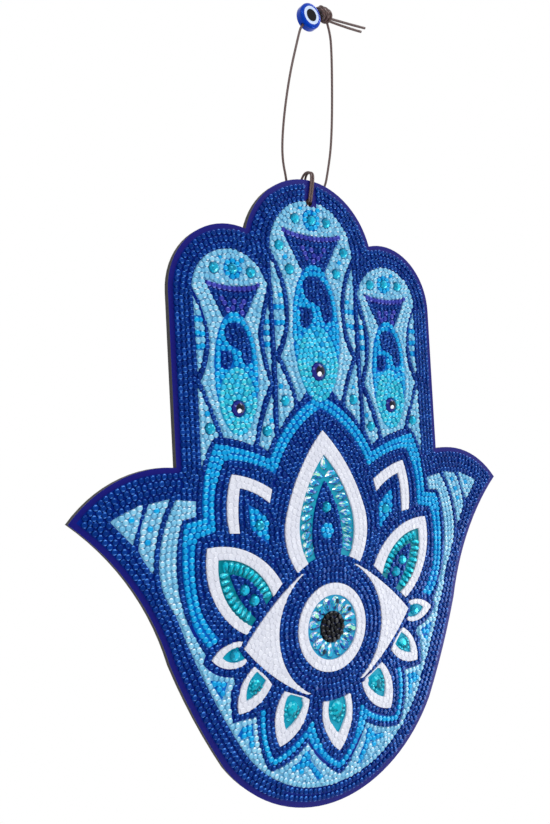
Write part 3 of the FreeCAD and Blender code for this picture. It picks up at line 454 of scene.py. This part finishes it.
def row_places(points, triangles):
    """Places on a grid inside a field, each drawn onto its row, with its row's number and its depth.

    The field's width across each place, W, holds round(W / pitch) rows, W / rows apart and half that
    from the walls. The last result is True for the places that a drill of a row may take.
    """
    y = points[:, 1]
    is_front = (y[triangles] < TOP_Y + 0.01).all(axis=1)
    is_wall = np.ptp(y[triangles], axis=1) > MIDDLE_Y - TOP_Y
    front = BVHTree.FromPolygons(points.tolist(), triangles[is_front].tolist())
    walls = BVHTree.FromPolygons(points.tolist(), triangles[is_wall].tolist())
    low = points.min(axis=0)
    high = points.max(axis=0)
    columns = np.arange(low[0], high[0], GRID_STEP)
    grid_x, grid_z = np.meshgrid(columns, np.arange(low[2], high[2], GRID_STEP))
    places = []
    edges = []
    across = []
    for x, z in zip(grid_x.ravel().tolist(), grid_z.ravel().tolist()):
        if front.ray_cast((x, 0, z), (0, 1, 0))[0] is None:
            continue
        near, _, _, depth = walls.find_nearest((x, MIDDLE_Y, z))
        if depth < LEAST_BAND / 2 - EDGE_SLACK:
            continue
        away = (x - near[0], 0, z - near[2])
        beyond = walls.ray_cast((x, MIDDLE_Y, z), away)[3]
        places.append((x, z))
        edges.append((near[0], near[2]))
        across.append(WIDE_FIELD if beyond is None else depth + beyond)
    places = np.array(places).reshape(-1, 2)
    away = places - np.array(edges).reshape(-1, 2)
    depth = np.linalg.norm(away, axis=1)
    across = np.array(across)
    rows = np.maximum(np.round(across / ROW_PITCH), 1)
    spacing = np.where(across < WIDE_FIELD, across / rows, ROW_PITCH)
    row = np.maximum(np.round(depth / spacing - 0.5), 0)
    target = (row + 0.5) * spacing
    shift = np.clip(target - depth, -ROW_SLACK, ROW_SLACK)
    on_row = np.abs(target - depth) <= ROW_SLACK
    places = places + away / np.maximum(depth, 1e-6)[:, None] * shift[:, None]
    return places, row, depth + shift, on_row & (depth + shift >= LEAST_BAND / 2)


def drill_seats(points, triangles):
    """Where a field's drills stand, and the size of each as a share of a whole one.

    Each next drill is the free place of its row nearest to the last one, so rows run along the edges.
    What is left between the rows is filled from the widest hole down, with drills that just fit.
    """
    places, row, depth, free = row_places(points, triangles)
    if not len(places):
        return np.empty((0, 2)), np.empty(0)
    chosen = []
    sizes = []
    last = places[np.argmax(places[:, 1])]
    gap = np.full(len(places), np.inf)
    for number in range(int(row.max()) + 1):
        while True:
            choice = np.flatnonzero(free & (row == number))
            if not len(choice):
                break
            pick = choice[np.argmin(((places[choice] - last) ** 2).sum(axis=1))]
            last = places[pick]
            chosen.append(pick)
            sizes.append((depth[pick] + OVERHANG) / DRILL_RADIUS)
            away = np.linalg.norm(places - last, axis=1)
            gap = np.minimum(gap, away)
            free &= away >= np.where(row == number, ALONG_ROW, ACROSS_ROWS)
    while True:
        pick = np.argmax(np.where(depth > FILL_DEPTH, gap, 0))
        if depth[pick] <= FILL_DEPTH or gap[pick] < FILL_REACH:
            break
        chosen.append(pick)
        sizes.append(min(depth[pick] + OVERHANG, gap[pick] - FILL_ROOM) / DRILL_RADIUS)
        gap = np.minimum(gap, np.linalg.norm(places - places[pick], axis=1))
    return places[chosen], np.clip(sizes, LEAST_SHARE, 1.0)


# The shape of a drill

DRILL_SIDES = 9
# Rings of a drill from the sheet up: share of its radius, height above the sheet, turn in half steps.
DRILL_RINGS = [(1.0, 0.02, 0), (1.0, 0.70, 0), (0.62, 1.13, 1)]
# White drills stand so close that hardly a joint shows, so their crowns are flatter and wider.
WHITE_RINGS = [(1.0, 0.02, 0), (1.02, 0.98, 0), (0.84, 1.13, 1)]
DRILL_FACES = ring_faces([turn for _, _, turn in DRILL_RINGS], DRILL_SIDES)
# How far the print between the drills stands off the sheet.
GROUND_HIGH = 0.03
WHITE_GROUND_HIGH = 0.86
# Drills lean by chance: the spread of their crowns' slopes.
LEAN = 0.045


def drill_shape(levels):
    """Points of one faceted drill: a ring of corners, share * radius from its middle, for each level."""
    angle = 2 * np.pi * np.arange(DRILL_SIDES) / DRILL_SIDES
    rings = []
    for share, high, half_steps in levels:
        turned = angle + half_steps * np.pi / DRILL_SIDES
        x = share * DRILL_RADIUS * np.cos(turned)
        z = share * DRILL_RADIUS * np.sin(turned)
        rings.append(np.stack([x, np.full(DRILL_SIDES, -high), z], axis=1))
    return np.concatenate(rings)


def facet_tones_and_painted_highlights(turn, own):
    """How light each facet of each drill shows, from 0 to 1. Bevels that face up or down get a painted
    highlight.

    turn is each drill's turn about Y, and own its own lightness from 0 to 1. A facet shows
    0.10 + 0.42 * own, and a bevel has 0.62 * |sin azimuth| ** 8 * (0.75 + 0.5 * own) more.
    """
    side = np.arange(DRILL_SIDES)
    azimuth = np.concatenate([side + 0.5, side + 1.0])[None, :] * 2 * np.pi / DRILL_SIDES - turn[:, None]
    # Painted highlight: a bevel is lighter the more it faces straight up or down in the world.
    painted_highlight = 0.62 * np.abs(np.sin(azimuth)) ** 8
    shades = np.repeat((0.10 + 0.42 * own)[:, None], len(DRILL_FACES), axis=1)
    first_bevel = 1 + 2 * DRILL_SIDES
    shades[:, first_bevel:first_bevel + 2 * DRILL_SIDES] += painted_highlight * (0.75 + 0.5 * own[:, None])
    return shades


def many(seats, points, sizes, turn, tilt_x, tilt_z):
    """Copies of points at seats, each sized, turned about Y, and leaned.

    Each point moves in Y by its X and Z times the drill's two slopes, the more the higher it stands.
    """
    c = sizes[:, None] * np.cos(turn)[:, None]
    s = sizes[:, None] * np.sin(turn)[:, None]
    x = c * points[None, :, 0] + s * points[None, :, 2]
    z = -s * points[None, :, 0] + c * points[None, :, 2]
    y = np.broadcast_to(points[None, :, 1], x.shape)
    lean = x * tilt_x[:, None] + z * tilt_z[:, None]
    share = np.clip(-y / (SHEET_Y - TOP_Y), 0, 1)
    return np.stack([x + seats[:, 0, None], y + lean * share + SHEET_Y, z + seats[:, 1, None]], axis=2)


# The colours of the drills

# Lone azure drills in the light blue fields of the right side: X, and Z from the big eye's centre.
# The drill nearest to each place is taken, no farther off than ACCENT_REACH.
ACCENT_REACH = 1.7
ACCENTS = [
    (17.2, 181.7), (22.3, 119.0), (22.0, 162.3), (30.8, 103.5), (65.4, 105.2), (54.8, 177.5),
    (41.0, 177.0), (103.5, 62.3), (92.0, 65.5), (94.5, 59.5), (95.5, 53.8), (22.5, -63.5), (6.0, 206.5),
]
# The fish tails' streaks: their axes, the top of the tail's navy, and how far the outer streaks spread.
TAILS = [(-48.2, 161.0, 5.6), (0.0, 190.0, 7.0), (48.2, 161.0, 5.6)]
# How far below the tail's top each streak's drills lie, where the streaks would meet, and their reach.
STREAK_DROPS = (2.5, 5.3, 8.1)
STREAKS_MEET = 26
STREAK_REACH = 1.6
# The side fish lie farther from the axis than this, and the middle fish lies this much higher than they.
SIDE_FISH_X = 24
MIDDLE_FISH_RISE = 14
# Strays begin to change at this height over the big eye's centre, and have changed this much higher.
STRAYS_FROM = 112
STRAYS_OVER = 26


def mark_nearest(mask, seats, x, z, reach):
    """Marks the seat nearest to a place, where one is within reach. z is from the big eye's centre."""
    away = np.hypot(seats[:, 0] - x, seats[:, 1] - (z + EYE_Z))
    if away.min() < reach:
        mask[away.argmin()] = True


def accent_mask(seats):
    """True for the seat nearest to each accent and to its mirror image."""
    mask = np.zeros(len(seats), bool)
    for side in (-1, 1):
        for x, z in ACCENTS:
            mark_nearest(mask, seats, side * x, z, ACCENT_REACH)
    return mask


def tail_streaks(seats):
    """True for seats on three short streaks that draw together down each fish tail."""
    mask = np.zeros(len(seats), bool)
    for axis, top, spread in TAILS:
        for side in (-1, 0, 1):
            for drop in STREAK_DROPS:
                x = axis + side * spread * (1 - drop / STREAKS_MEET)
                mark_nearest(mask, seats, x, top - drop, STREAK_REACH)
    return mask


def strays(seats, most, upward):
    """True for some seats, where a neighbour's colour strays in: up to a share most at a fish's end."""
    raised = np.where(np.abs(seats[:, 0]) > SIDE_FISH_X, 0, MIDDLE_FISH_RISE)
    high = seats[:, 1] - EYE_Z - raised
    rise = np.clip((high - STRAYS_FROM) / STRAYS_OVER, 0, 1)
    return rng.random(len(seats)) < most * (rise if upward else 1 - rise)


def accent_numbers(node, slot, seats):
    """The resin of each drill: 0 is the field's own, 1 its accent and 2 sea green."""
    if slot == "resin_light_blue":
        return accent_mask(seats).astype(int)
    if node == "drills_navy_fish":
        return tail_streaks(seats).astype(int)
    if node == "drills_turquoise_fish":
        azure = strays(seats, most=0.24, upward=True)
        return np.where(azure, 1, 2 * strays(seats, most=0.6, upward=False))
    if node == "drills_azure_fish":
        return strays(seats, most=0.20, upward=False).astype(int)
    return np.zeros(len(seats), int)


def drill_field(node):
    """A field of drills on its own printed ground, in place of the CAD node's plain plate."""
    points, triangles = merged(node)
    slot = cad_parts[node].data.materials[0].name
    resin, ground = RESINS[slot]
    is_white = slot == "resin_white"
    seats, sizes = drill_seats(points, triangles)
    count = len(seats)
    shape = drill_shape(WHITE_RINGS if is_white else DRILL_RINGS)
    turn = rng.uniform(0, 2 * np.pi, count)
    drills = many(seats, shape, sizes, turn, rng.normal(0, LEAN, count), rng.normal(0, LEAN, count))
    accents = accent_numbers(node, slot, seats)
    base = points.copy()
    ground_y = SHEET_Y - (WHITE_GROUND_HIGH if is_white else GROUND_HIGH)
    base[:, 1] = np.where(base[:, 1] < MIDDLE_Y, ground_y, SHEET_Y)
    faces = triangles.tolist()
    for number in range(count):
        start = len(base) + number * len(shape)
        faces += [[start + corner for corner in face] for face in DRILL_FACES]
    index = np.concatenate([np.zeros(len(triangles), int), np.repeat(1 + accents, len(DRILL_FACES))])
    piece = make_piece(
        node.replace("drills_", "laid_drills_"), np.concatenate([base, drills.reshape(-1, 3)]), faces,
        [ground, resin, ACCENT_RESINS.get(node, AZURE), SEA_GREEN], index,
    )
    shades = facet_tones_and_painted_highlights(turn, rng.uniform(0, 1, count))
    set_values(piece, "drill_tone_and_painted_highlight", np.concatenate([np.full(len(triangles), 0.5), shades.ravel()]), "FACE")
    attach(piece, "hand")
    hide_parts(node)


for node in sorted(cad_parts):
    if node.startswith("drills_"):
        drill_field(node)


# Gems

# Rings of a cut gem from its seat up: share of its outline, share of its height, turn in half steps.
GEM_RINGS = [(1.0, 0.0, 0), (1.0, 0.22, 0), (0.76, 0.74, 1), (0.42, 1.0, 0)]
# A gem whose length is under this share of its width is round.
ROUND_GEM = 1.08


def drop_outline(share, length, width, fullness):
    """A drop's outline: x = (1 + cos a) / 2 * length, z = fullness * width * sin a * sin(a / 2) ** 0.6."""
    angle = 2 * np.pi * share
    x = (1 + np.cos(angle)) / 2 * length - width / 2
    z = fullness * width * np.sin(angle) * np.abs(np.sin(angle / 2)) ** 0.6
    return np.stack([x, z], axis=1)


def gem_foil_tones_and_painted_light(points, faces, lit_from):
    """How light each facet is, from 0 to 1: those that face lit_from, a way in X and Z, are the lightest as
    painted highlight, and those that face away the darkest as painted shade.

    A level facet shows 0.39, a facet that faces lit_from 0.56 more, and chance adds or takes up to 0.32.
    """
    corners = points[np.array([face[:3] for face in faces])]
    normal = np.cross(corners[:, 1] - corners[:, 0], corners[:, 2] - corners[:, 0])
    normal /= np.linalg.norm(normal, axis=1)[:, None]
    normal *= np.where(normal[:, 1] > 0, -1, 1)[:, None]
    facing = normal[:, 0] * lit_from[0] + normal[:, 2] * lit_from[1]
    return np.clip(0.39 + 0.56 * facing + rng.uniform(-0.32, 0.32, len(faces)), 0, 1)


def gem_frames(node):
    """Middle of the round end, tip's direction, length, width and height of each gem of a node."""
    points, triangles = merged(node)
    label = lumps(points, triangles)
    found = []
    for one in np.unique(label):
        own = points[label == one]
        flat = own[:, [0, 2]]
        centre = (flat.max(axis=0) + flat.min(axis=0)) / 2
        spread = np.cov((flat - flat.mean(axis=0)).T)
        way = np.linalg.eigh(spread)[1][:, 1]
        along = (flat - centre) @ way
        across = (flat - centre) @ np.array([-way[1], way[0]])
        length = np.ptp(along)
        width = np.ptp(across)
        # The widest place is nearer the round end, so the tip is the end farther from it.
        widest = along[np.abs(across) > np.abs(across).max() - 0.05].mean()
        if along.max() - widest < widest - along.min():
            way = -way
            along = -along
        start = centre + way * (along.min() + width / 2)
        found.append((start, way, length, width, np.ptp(own[:, 1])))
    return found


def cut_gems(node, material, sides, lit_from, fullness=1.0, reach=1.0):
    """Faceted gems in place of a node's plain ones: rings of the outline at shares of the height.

    fullness is how plump a drop's outline is, and reach how far its tip goes, as a share of its length.
    """
    all_points = []
    faces = []
    gem_faces = ring_faces([turn for _, _, turn in GEM_RINGS], sides)
    start = 0
    for seat, way, length, width, high in gem_frames(node):
        rings = []
        for scale, rise, half_steps in GEM_RINGS:
            share = (np.arange(sides) + half_steps / 2) / sides
            if length < width * ROUND_GEM:
                angle = 2 * np.pi * share
                flat = np.stack([np.cos(angle), np.sin(angle)], axis=1) * length / 2
            else:
                flat = drop_outline(share, length * reach, width, fullness)
            rings.append(np.column_stack([flat * scale, np.full(sides, rise * high)]))
        local = np.concatenate(rings)
        x = seat[0] + local[:, 0] * way[0] - local[:, 1] * way[1]
        z = seat[1] + local[:, 0] * way[1] + local[:, 1] * way[0]
        all_points.append(np.stack([x, SHEET_Y - local[:, 2], z], axis=1))
        faces += [[start + corner for corner in face] for face in gem_faces]
        start += len(local)
    points = np.concatenate(all_points)
    piece = make_piece("cut_" + node, points, faces, [material])
    set_values(piece, "foil_tone_and_painted_light", gem_foil_tones_and_painted_light(points, faces, lit_from), "FACE")
    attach(piece, "hand")
    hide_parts(node)


# The ways in X and Z that a gem's lightest facets face, the side its painted highlight falls on.
FROM_ABOVE = (-0.45, 0.9)
FROM_LEFT = (-0.9, 0.4)
FROM_UPPER_LEFT = (-0.6, 0.8)
FROM_LOW_RIGHT = (0.75, -0.65)
cut_gems("gems_domes", TURQUOISE_GEM, 12, FROM_LOW_RIGHT)
cut_gems("gems_petal_drops", CLEAR_GEM, 12, FROM_LEFT, fullness=0.78, reach=1.08)
cut_gems("gems_iris_drops", CLEAR_GEM, 12, FROM_ABOVE, fullness=0.94, reach=1.1)
cut_gems("gems_side_petal_drops", TEAL_GEM, 10, FROM_ABOVE, fullness=0.72, reach=1.22)
cut_gems("gems_lower_petal_drops", TEAL_GEM, 12, FROM_ABOVE, fullness=0.74, reach=1.04)
cut_gems("gems_lower_petal_buds", TEAL_GEM, 10, FROM_UPPER_LEFT, fullness=0.98, reach=1.22)


# The print under the gems

# The patches of print are just proud of the sheet.
PRINT_THICK = 0.015
# The three big petals are higher than this, and the middle one lies this near the axis.
BIG_PETAL = 34
MIDDLE_PETAL_X = 8


def printed_ground(name, points, ink):
    """A patch of the sheet's print below a petal's gems, as the convex hull of the petal's points."""
    flat = points[:, [0, 2]]
    rim = flat[convex_hull_2d(flat.tolist())]
    count = len(rim)
    front = np.column_stack([rim[:, 0], np.full(count, SHEET_Y - PRINT_THICK), rim[:, 1]])
    back = front + [0, PRINT_THICK, 0]
    corner = np.arange(count)
    after = (corner + 1) % count
    sides = np.stack([corner, corner + count, after + count, after], axis=1).tolist()
    faces = [corner.tolist(), (corner[::-1] + count).tolist()] + sides
    piece = make_piece(name, np.concatenate([front, back]), faces, [ink])
    turn_outward(piece)
    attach(piece, "hand")


def turn_outward(piece):
    """Turns all faces of a closed piece outward."""
    shell = bmesh.new()
    shell.from_mesh(piece.data)
    bmesh.ops.recalc_face_normals(shell, faces=shell.faces)
    shell.to_mesh(piece.data)
    shell.free()


printed_ground("iris_print", merged("drills_white_ring")[0], IRIS_INK)
petal_points, petal_triangles = merged("drills_white_petals")
petal_label = lumps(petal_points, petal_triangles)
for number, label in enumerate(np.unique(petal_label)):
    own = petal_points[petal_label == label]
    ink = BUD_INK
    if np.ptp(own[:, 2]) > BIG_PETAL:
        ink = PETAL_INK if abs(own[:, 0].mean()) < MIDDLE_PETAL_X else SIDE_PETAL_INK
    printed_ground(f"petal_print_{number}", own, ink)


# Fish eyes

EYE_SIDES = 40
# A fish eye has a straight rim of this height, and a crown of this many rings over it.
EYE_RIM_HIGH = 0.35
EYE_CROWN_RINGS = 14
# The angle of the crown's last ring from its axis, in radians, and the power that makes the crown full.
EYE_LAST_RING = 0.06
EYE_POWER = 0.8


def fish_eye(node):
    """A domed eye: rings at shares of its radius that are sines of even angles.

    The crown's height goes with (1 - share ** 2) ** EYE_POWER. Each point holds how far it is from the
    pupil's middle and from the painted glint's, for the material's print and its painted highlight.
    """
    low, high = np.array(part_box(node)) / MM
    radius = (high[0] - low[0]) / 2
    middle = (low + high) / 2
    share = np.concatenate([[1.0, 1.0], np.sin(np.linspace(np.pi / 2, EYE_LAST_RING, EYE_CROWN_RINGS))])
    crown = (high[1] - low[1] - EYE_RIM_HIGH) * (1 - share[2:] ** 2) ** EYE_POWER
    rise = np.concatenate([[0.0, EYE_RIM_HIGH], EYE_RIM_HIGH + crown])
    angle = 2 * np.pi * np.arange(EYE_SIDES) / EYE_SIDES
    x = (share[:, None] * np.cos(angle)).ravel()
    z = (share[:, None] * np.sin(angle)).ravel()
    y = high[1] - np.repeat(rise, EYE_SIDES)
    points = np.stack([middle[0] + radius * x, y, middle[2] + radius * z], axis=1)
    # None of an eye's rings is turned.
    piece = make_piece("domed_" + node, points, ring_faces([0] * len(share), EYE_SIDES), [EYE_GEM])
    piece.data.shade_smooth()
    set_values(piece, "from_pupil", np.hypot(x - PUPIL_PLACE[0], z - PUPIL_PLACE[1]))
    set_values(piece, "from_painted_glint", np.hypot(x - PAINTED_GLINT_PLACE[0], z - PAINTED_GLINT_PLACE[1]))
    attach(piece, "hand")
    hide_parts(node)


for node in ("fish_eye_left", "fish_eye_middle", "fish_eye_right"):
    fish_eye(node)


# Pieces that keep their CAD shape

for node, material in (
    ("board", BOARD), ("printed_sheet", SHEET_INK), ("bead_glass", COBALT),
    ("bead_white_ring", PALE), ("bead_pupil", INK_GLASS),
):
    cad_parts[node].data.materials[0] = material


# Cords

CORD_DIAMETER = 1.2
CORD_SIDES = 12
LEFT_ROUTE = [
    (-0.65, 13.83, -91.20), (-0.65, 16.50, -91.20), (0.68, 16.50, -87.60), (0.72, 19.90, -85.00),
    (-3.40, 20.60, -84.20), (-8.60, 18.40, -83.60), (-10.60, 15.60, -80.00), (-13.60, 14.00, -71.50),
    (-14.60, 12.00, -61.50), (-14.20, 9.00, -47.00), (-12.40, 5.60, -30.50), (-9.60, 2.70, -16.50),
    (-8.50, 1.25, -10.70), (-7.56, 0.90, -8.57), (2.47, 0.90, 3.38),
]
RIGHT_ROUTE = [
    (0.65, 13.83, -91.20), (0.65, 16.50, -91.20), (1.98, 16.50, -87.60), (2.02, 19.90, -85.00),
    (5.80, 20.60, -84.20), (12.00, 18.40, -83.60), (14.30, 15.60, -80.00), (15.50, 14.00, -71.50),
    (16.50, 12.00, -61.00), (16.20, 9.50, -47.00), (14.60, 6.00, -29.00), (12.90, 3.20, -15.00),
    (11.20, 1.50, -6.80), (8.90, 0.90, -2.00),
]
BIGHT_ROUTE = [
    (-0.65, 13.83, -91.20), (-0.65, 11.15, -91.20), (-0.10, 11.15, -88.58), (1.60, 11.15, -80.50),
    (2.00, 11.40, -75.40), (1.60, 16.60, -74.40), (0.20, 19.20, -80.50), (-1.00, 18.00, -89.00),
    (3.20, 18.00, -89.00), (3.40, 19.20, -80.50), (2.90, 16.60, -74.40), (3.30, 11.40, -75.40),
    (2.90, 11.15, -80.50), (1.20, 11.15, -88.58), (0.65, 11.15, -91.20), (0.65, 13.83, -91.20),
]
UPPER_TAIL_ROUTE = [(8.20, 0.50, 0.10), (22.50, 0.30, 0.85), (34.00, 0.10, 1.80)]
LOWER_TAIL_ROUTE = [(8.30, 0.80, -1.00), (21.30, 0.60, -1.35), (31.50, 0.50, -0.60)]

# The knot's middle, and its wraps: place along the knot and lean in degrees.
KNOT_MIDDLE = np.array([6.50, 0.30, 1.00])
KNOT_WRAPS = ((-1.30, 22), (0.0, -6), (1.30, -40))
# How far the knot's length slopes down to the right, and how far its wraps' axes are turned about Y.
KNOT_SLOPE = math.radians(20)
WRAP_TURN = math.radians(55)
# A wrap is two loops with this radius, this far to each side of its middle.
WRAP_RADIUS = 2.70
WRAP_HALF_SPACE = 0.60
# The wraps' cord is a little thicker than elsewhere, so that the two loops of a wrap press together.
WRAP_CORD_RADIUS = 0.74
WRAP_STEPS = 40


def smooth_line(route):
    """Points along the smooth spline that has the route's points as its control points, in millimetres."""
    curve = bpy.data.curves.new("route", "CURVE")
    curve.dimensions = "3D"
    curve.resolution_u = 14
    spline = curve.splines.new("NURBS")
    spline.points.add(len(route) - 1)
    for point, place in zip(spline.points, route):
        point.co = [c * MM for c in place] + [1.0]
    spline.order_u = 3
    spline.use_endpoint_u = True
    carrier = bpy.data.objects.new("route", curve)
    mesh = bpy.data.meshes.new_from_object(carrier)
    line = np.empty(len(mesh.vertices) * 3)
    mesh.vertices.foreach_get("co", line)
    bpy.data.meshes.remove(mesh)
    bpy.data.objects.remove(carrier)
    return line.reshape(-1, 3) / MM


def tube_points(line, radius, closed=False):
    """Rings about a line: each ring is radius * (cos a * across + sin a * up) about its point.

    across is carried along the line and made square to it at each point, so that the tube doesn't twist.
    """
    if closed:
        ways = np.roll(line, -1, axis=0) - np.roll(line, 1, axis=0)
    else:
        ways = np.gradient(line, axis=0)
    ways /= np.linalg.norm(ways, axis=1)[:, None]
    across = np.empty_like(line)
    # Any way that isn't along the line will do to start from.
    carried = np.cross(ways[0], [0.3, 1.0, 0.2])
    for number, way in enumerate(ways):
        carried = carried - way * (carried @ way)
        carried = carried / np.linalg.norm(carried)
        across[number] = carried
    up = np.cross(ways, across)
    angle = 2 * np.pi * np.arange(CORD_SIDES) / CORD_SIDES
    rings = line[:, None] + radius * (
        np.cos(angle)[None, :, None] * across[:, None] + np.sin(angle)[None, :, None] * up[:, None]
    )
    return rings.reshape(-1, 3)


def tube_faces(count, closed=False):
    """Squares between the rings of a tube and a face on each open end, outward."""
    ring = np.arange(count if closed else count - 1)[:, None] * CORD_SIDES
    after_ring = (ring + CORD_SIDES) % (count * CORD_SIDES)
    turn = np.arange(CORD_SIDES)[None, :]
    after = (turn + 1) % CORD_SIDES
    corners = [ring + turn, ring + after, after_ring + after, after_ring + turn]
    faces = np.stack(corners, axis=2).reshape(-1, 4).tolist()
    if not closed:
        faces.append(list(range(CORD_SIDES))[::-1])
        faces.append([(count - 1) * CORD_SIDES + side for side in range(CORD_SIDES)])
    return faces


def lay_map(piece, line):
    """A map for the cord's lays: millimetres along the cord, and millimetres round it."""
    along = np.concatenate([[0], np.cumsum(np.linalg.norm(np.diff(line, axis=0), axis=1))])
    corners = np.empty(len(piece.data.loops), np.int32)
    piece.data.loops.foreach_get("vertex_index", corners)
    round_share = (corners % CORD_SIDES) / CORD_SIDES
    uv = np.stack([along[corners // CORD_SIDES], round_share * math.pi * CORD_DIAMETER], axis=1)
    layer = piece.data.uv_layers.new(name="cord_lay")
    layer.data.foreach_set("uv", uv.astype(np.float32).reshape(-1))


def tubes(name, parts, material):
    """A piece of one or more tubes. parts holds each tube's line, its radius, and whether it is closed."""
    points = []
    faces = []
    start = 0
    for line, radius, closed in parts:
        points.append(tube_points(line, radius, closed))
        faces += [[start + corner for corner in face] for face in tube_faces(len(line), closed)]
        start += len(line) * CORD_SIDES
    piece = make_piece(name, np.concatenate(points), faces, [material])
    piece.data.shade_smooth()
    lay_map(piece, np.concatenate([line for line, _, _ in parts]))
    return piece


def cord_piece(name, route, material):
    """A length of cord as a tube along its route's smooth line, and that line."""
    line = smooth_line(route)
    return tubes(name, [(line, CORD_DIAMETER / 2, False)], material), line


def knot_piece():
    """The overhand knot of both cords: three doubled wraps leaning across each other, and both tails.

    Each wrap is a pair of rings of cord side by side, as a circle about a leaning axis through the knot.
    """
    row_way = np.array([math.cos(KNOT_SLOPE), 0, -math.sin(KNOT_SLOPE)])
    turn = 2 * np.pi * np.arange(WRAP_STEPS) / WRAP_STEPS
    parts = []
    for place, lean in KNOT_WRAPS:
        axis = Matrix.Rotation(math.radians(lean), 3, Vector(row_way)) @ Vector((0, 0, 1))
        axis = np.array(Matrix.Rotation(WRAP_TURN, 3, "Y") @ axis)
        first = np.cross(axis, [0.2, 1.0, 0.1])
        first /= np.linalg.norm(first)
        second = np.cross(axis, first)
        loop = WRAP_RADIUS * (np.cos(turn)[:, None] * first + np.sin(turn)[:, None] * second)
        for side in (-WRAP_HALF_SPACE, WRAP_HALF_SPACE):
            parts.append((KNOT_MIDDLE + row_way * place + axis * side + loop, WRAP_CORD_RADIUS, True))
    for route in (UPPER_TAIL_ROUTE, LOWER_TAIL_ROUTE):
        parts.append((smooth_line(route), CORD_DIAMETER / 2, False))
    return tubes("overhand_knot", parts, SHADE_DARKENED_CORD)


left, left_line = cord_piece("left_cord", LEFT_ROUTE, CORD)
right, right_line = cord_piece("right_cord", RIGHT_ROUTE, CORD)
# The hitch takes the darker cord as painted shade.
bight, bight_line = cord_piece("hitch_cord", BIGHT_ROUTE, SHADE_DARKENED_CORD)
knot = knot_piece()
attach(knot, "hanger")
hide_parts("cord_knot", "cord_upper_tail", "cord_lower_tail")
# The two strands run from the hand up to the hanger. They are baked where they lie, with no body to move
# with.
for piece, nodes in (
    (left, ("cord_left_strand", "cord_back_left")), (right, ("cord_right_strand", "cord_back_right")),
):
    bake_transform(piece)
    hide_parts(*nodes)
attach(bight, "hand")
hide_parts("cord_bight")


# The camera of the photograph

# Its turn to the left, its rise and its roll in degrees, its place, and its lens and sensor in millimetres.
CAMERA_TURN = -35.606
CAMERA_RISE = 1.968
CAMERA_ROLL = -3.005
CAMERA_PLACE = (-0.2314, -0.2726, -0.2078)
CAMERA_LENS = 32.24
CAMERA_SENSOR = 36.0

camera_data = bpy.data.cameras.new("camera")
camera_data.sensor_width = CAMERA_SENSOR
camera_data.lens = CAMERA_LENS
camera_data.clip_start = 0.01
camera = bpy.data.objects.new("camera", camera_data)
scene.collection.objects.link(camera)
camera.matrix_world = (
    Matrix.Translation(CAMERA_PLACE)
    @ Matrix.Rotation(math.radians(CAMERA_TURN), 4, "Z")
    @ Matrix.Rotation(math.radians(90 + CAMERA_RISE), 4, "X")
    @ Matrix.Rotation(math.radians(CAMERA_ROLL), 4, "Z")
)
scene.camera = camera
scene.view_settings.view_transform = "Standard"


# Floor, room and lamps

FLOOR_CORNERS = [(-4, -4, -0.70), (4, -4, -0.70), (4, 4, -0.70), (-4, 4, -0.70)]
HAND_MIDDLE = (0.0, 0.012, -0.25)
WHITE_LIGHT = (1, 1, 1, 1)
ROOM_LIGHT = (0.96, 0.98, 1.0, 1)
ROOM_STRENGTH = 0.62


def seen_white(owner, own, white):
    """Shows white to camera, glossy and transmission rays, and the own shader to all others."""
    rays = add(owner, "ShaderNodeLightPath")
    seen = rays.outputs["Is Camera Ray"]
    for name in ("Is Glossy Ray", "Is Transmission Ray"):
        larger = add(owner, "ShaderNodeMath", {0: seen, 1: rays.outputs[name]}, operation="MAXIMUM")
        seen = larger.outputs[0]
    return add(owner, "ShaderNodeMixShader", {0: seen, 1: own.outputs[0], 2: white.outputs[0]})


def studio_floor():
    """A level floor far below the hand, matt white for the light that it sends back."""
    mesh = bpy.data.meshes.new("floor")
    mesh.from_pydata(FLOOR_CORNERS, [], [[0, 1, 2, 3]])
    material, output = new_material("matt white studio floor")
    matt = add(material, "ShaderNodeBsdfDiffuse", Color=linear("F4F4F4"))
    glow = add(material, "ShaderNodeEmission", Color=WHITE_LIGHT)
    mesh.materials.append(finish_surface(material, output, seen_white(material, matt, glow)))
    floor = bpy.data.objects.new("floor", mesh)
    scene.collection.objects.link(floor)


def studio_room():
    """An even, slightly cool room round the hand, which shows as plain white."""
    world = bpy.data.worlds.new("studio")
    scene.world = world
    world.use_nodes = True
    world.node_tree.nodes.clear()
    room = add(world, "ShaderNodeBackground", Color=ROOM_LIGHT, Strength=ROOM_STRENGTH)
    white = add(world, "ShaderNodeBackground", Color=WHITE_LIGHT)
    add(world, "ShaderNodeOutputWorld", {"Surface": seen_white(world, room, white).outputs[0]})


def soft_box(name, centre, size, watts):
    """A square studio lamp at centre that faces the middle of the hand."""
    lamp = bpy.data.lights.new(name, "AREA")
    lamp.shape = "SQUARE"
    lamp.size = size
    lamp.energy = watts
    holder = bpy.data.objects.new(name, lamp)
    aim = (Vector(HAND_MIDDLE) - Vector(centre)).to_track_quat("-Z", "Y")
    holder.matrix_world = aim.to_matrix().to_4x4()
    holder.location = Vector(centre)
    scene.collection.objects.link(holder)


studio_floor()
studio_room()
soft_box("key_lamp", (-0.75, -1.05, 0.65), 0.6, 8.5)
soft_box("high_lamp", (0.75, -0.45, 0.60), 0.45, 4.5)
soft_box("low_lamp", (0.75, -0.45, -0.60), 0.40, 3.0)
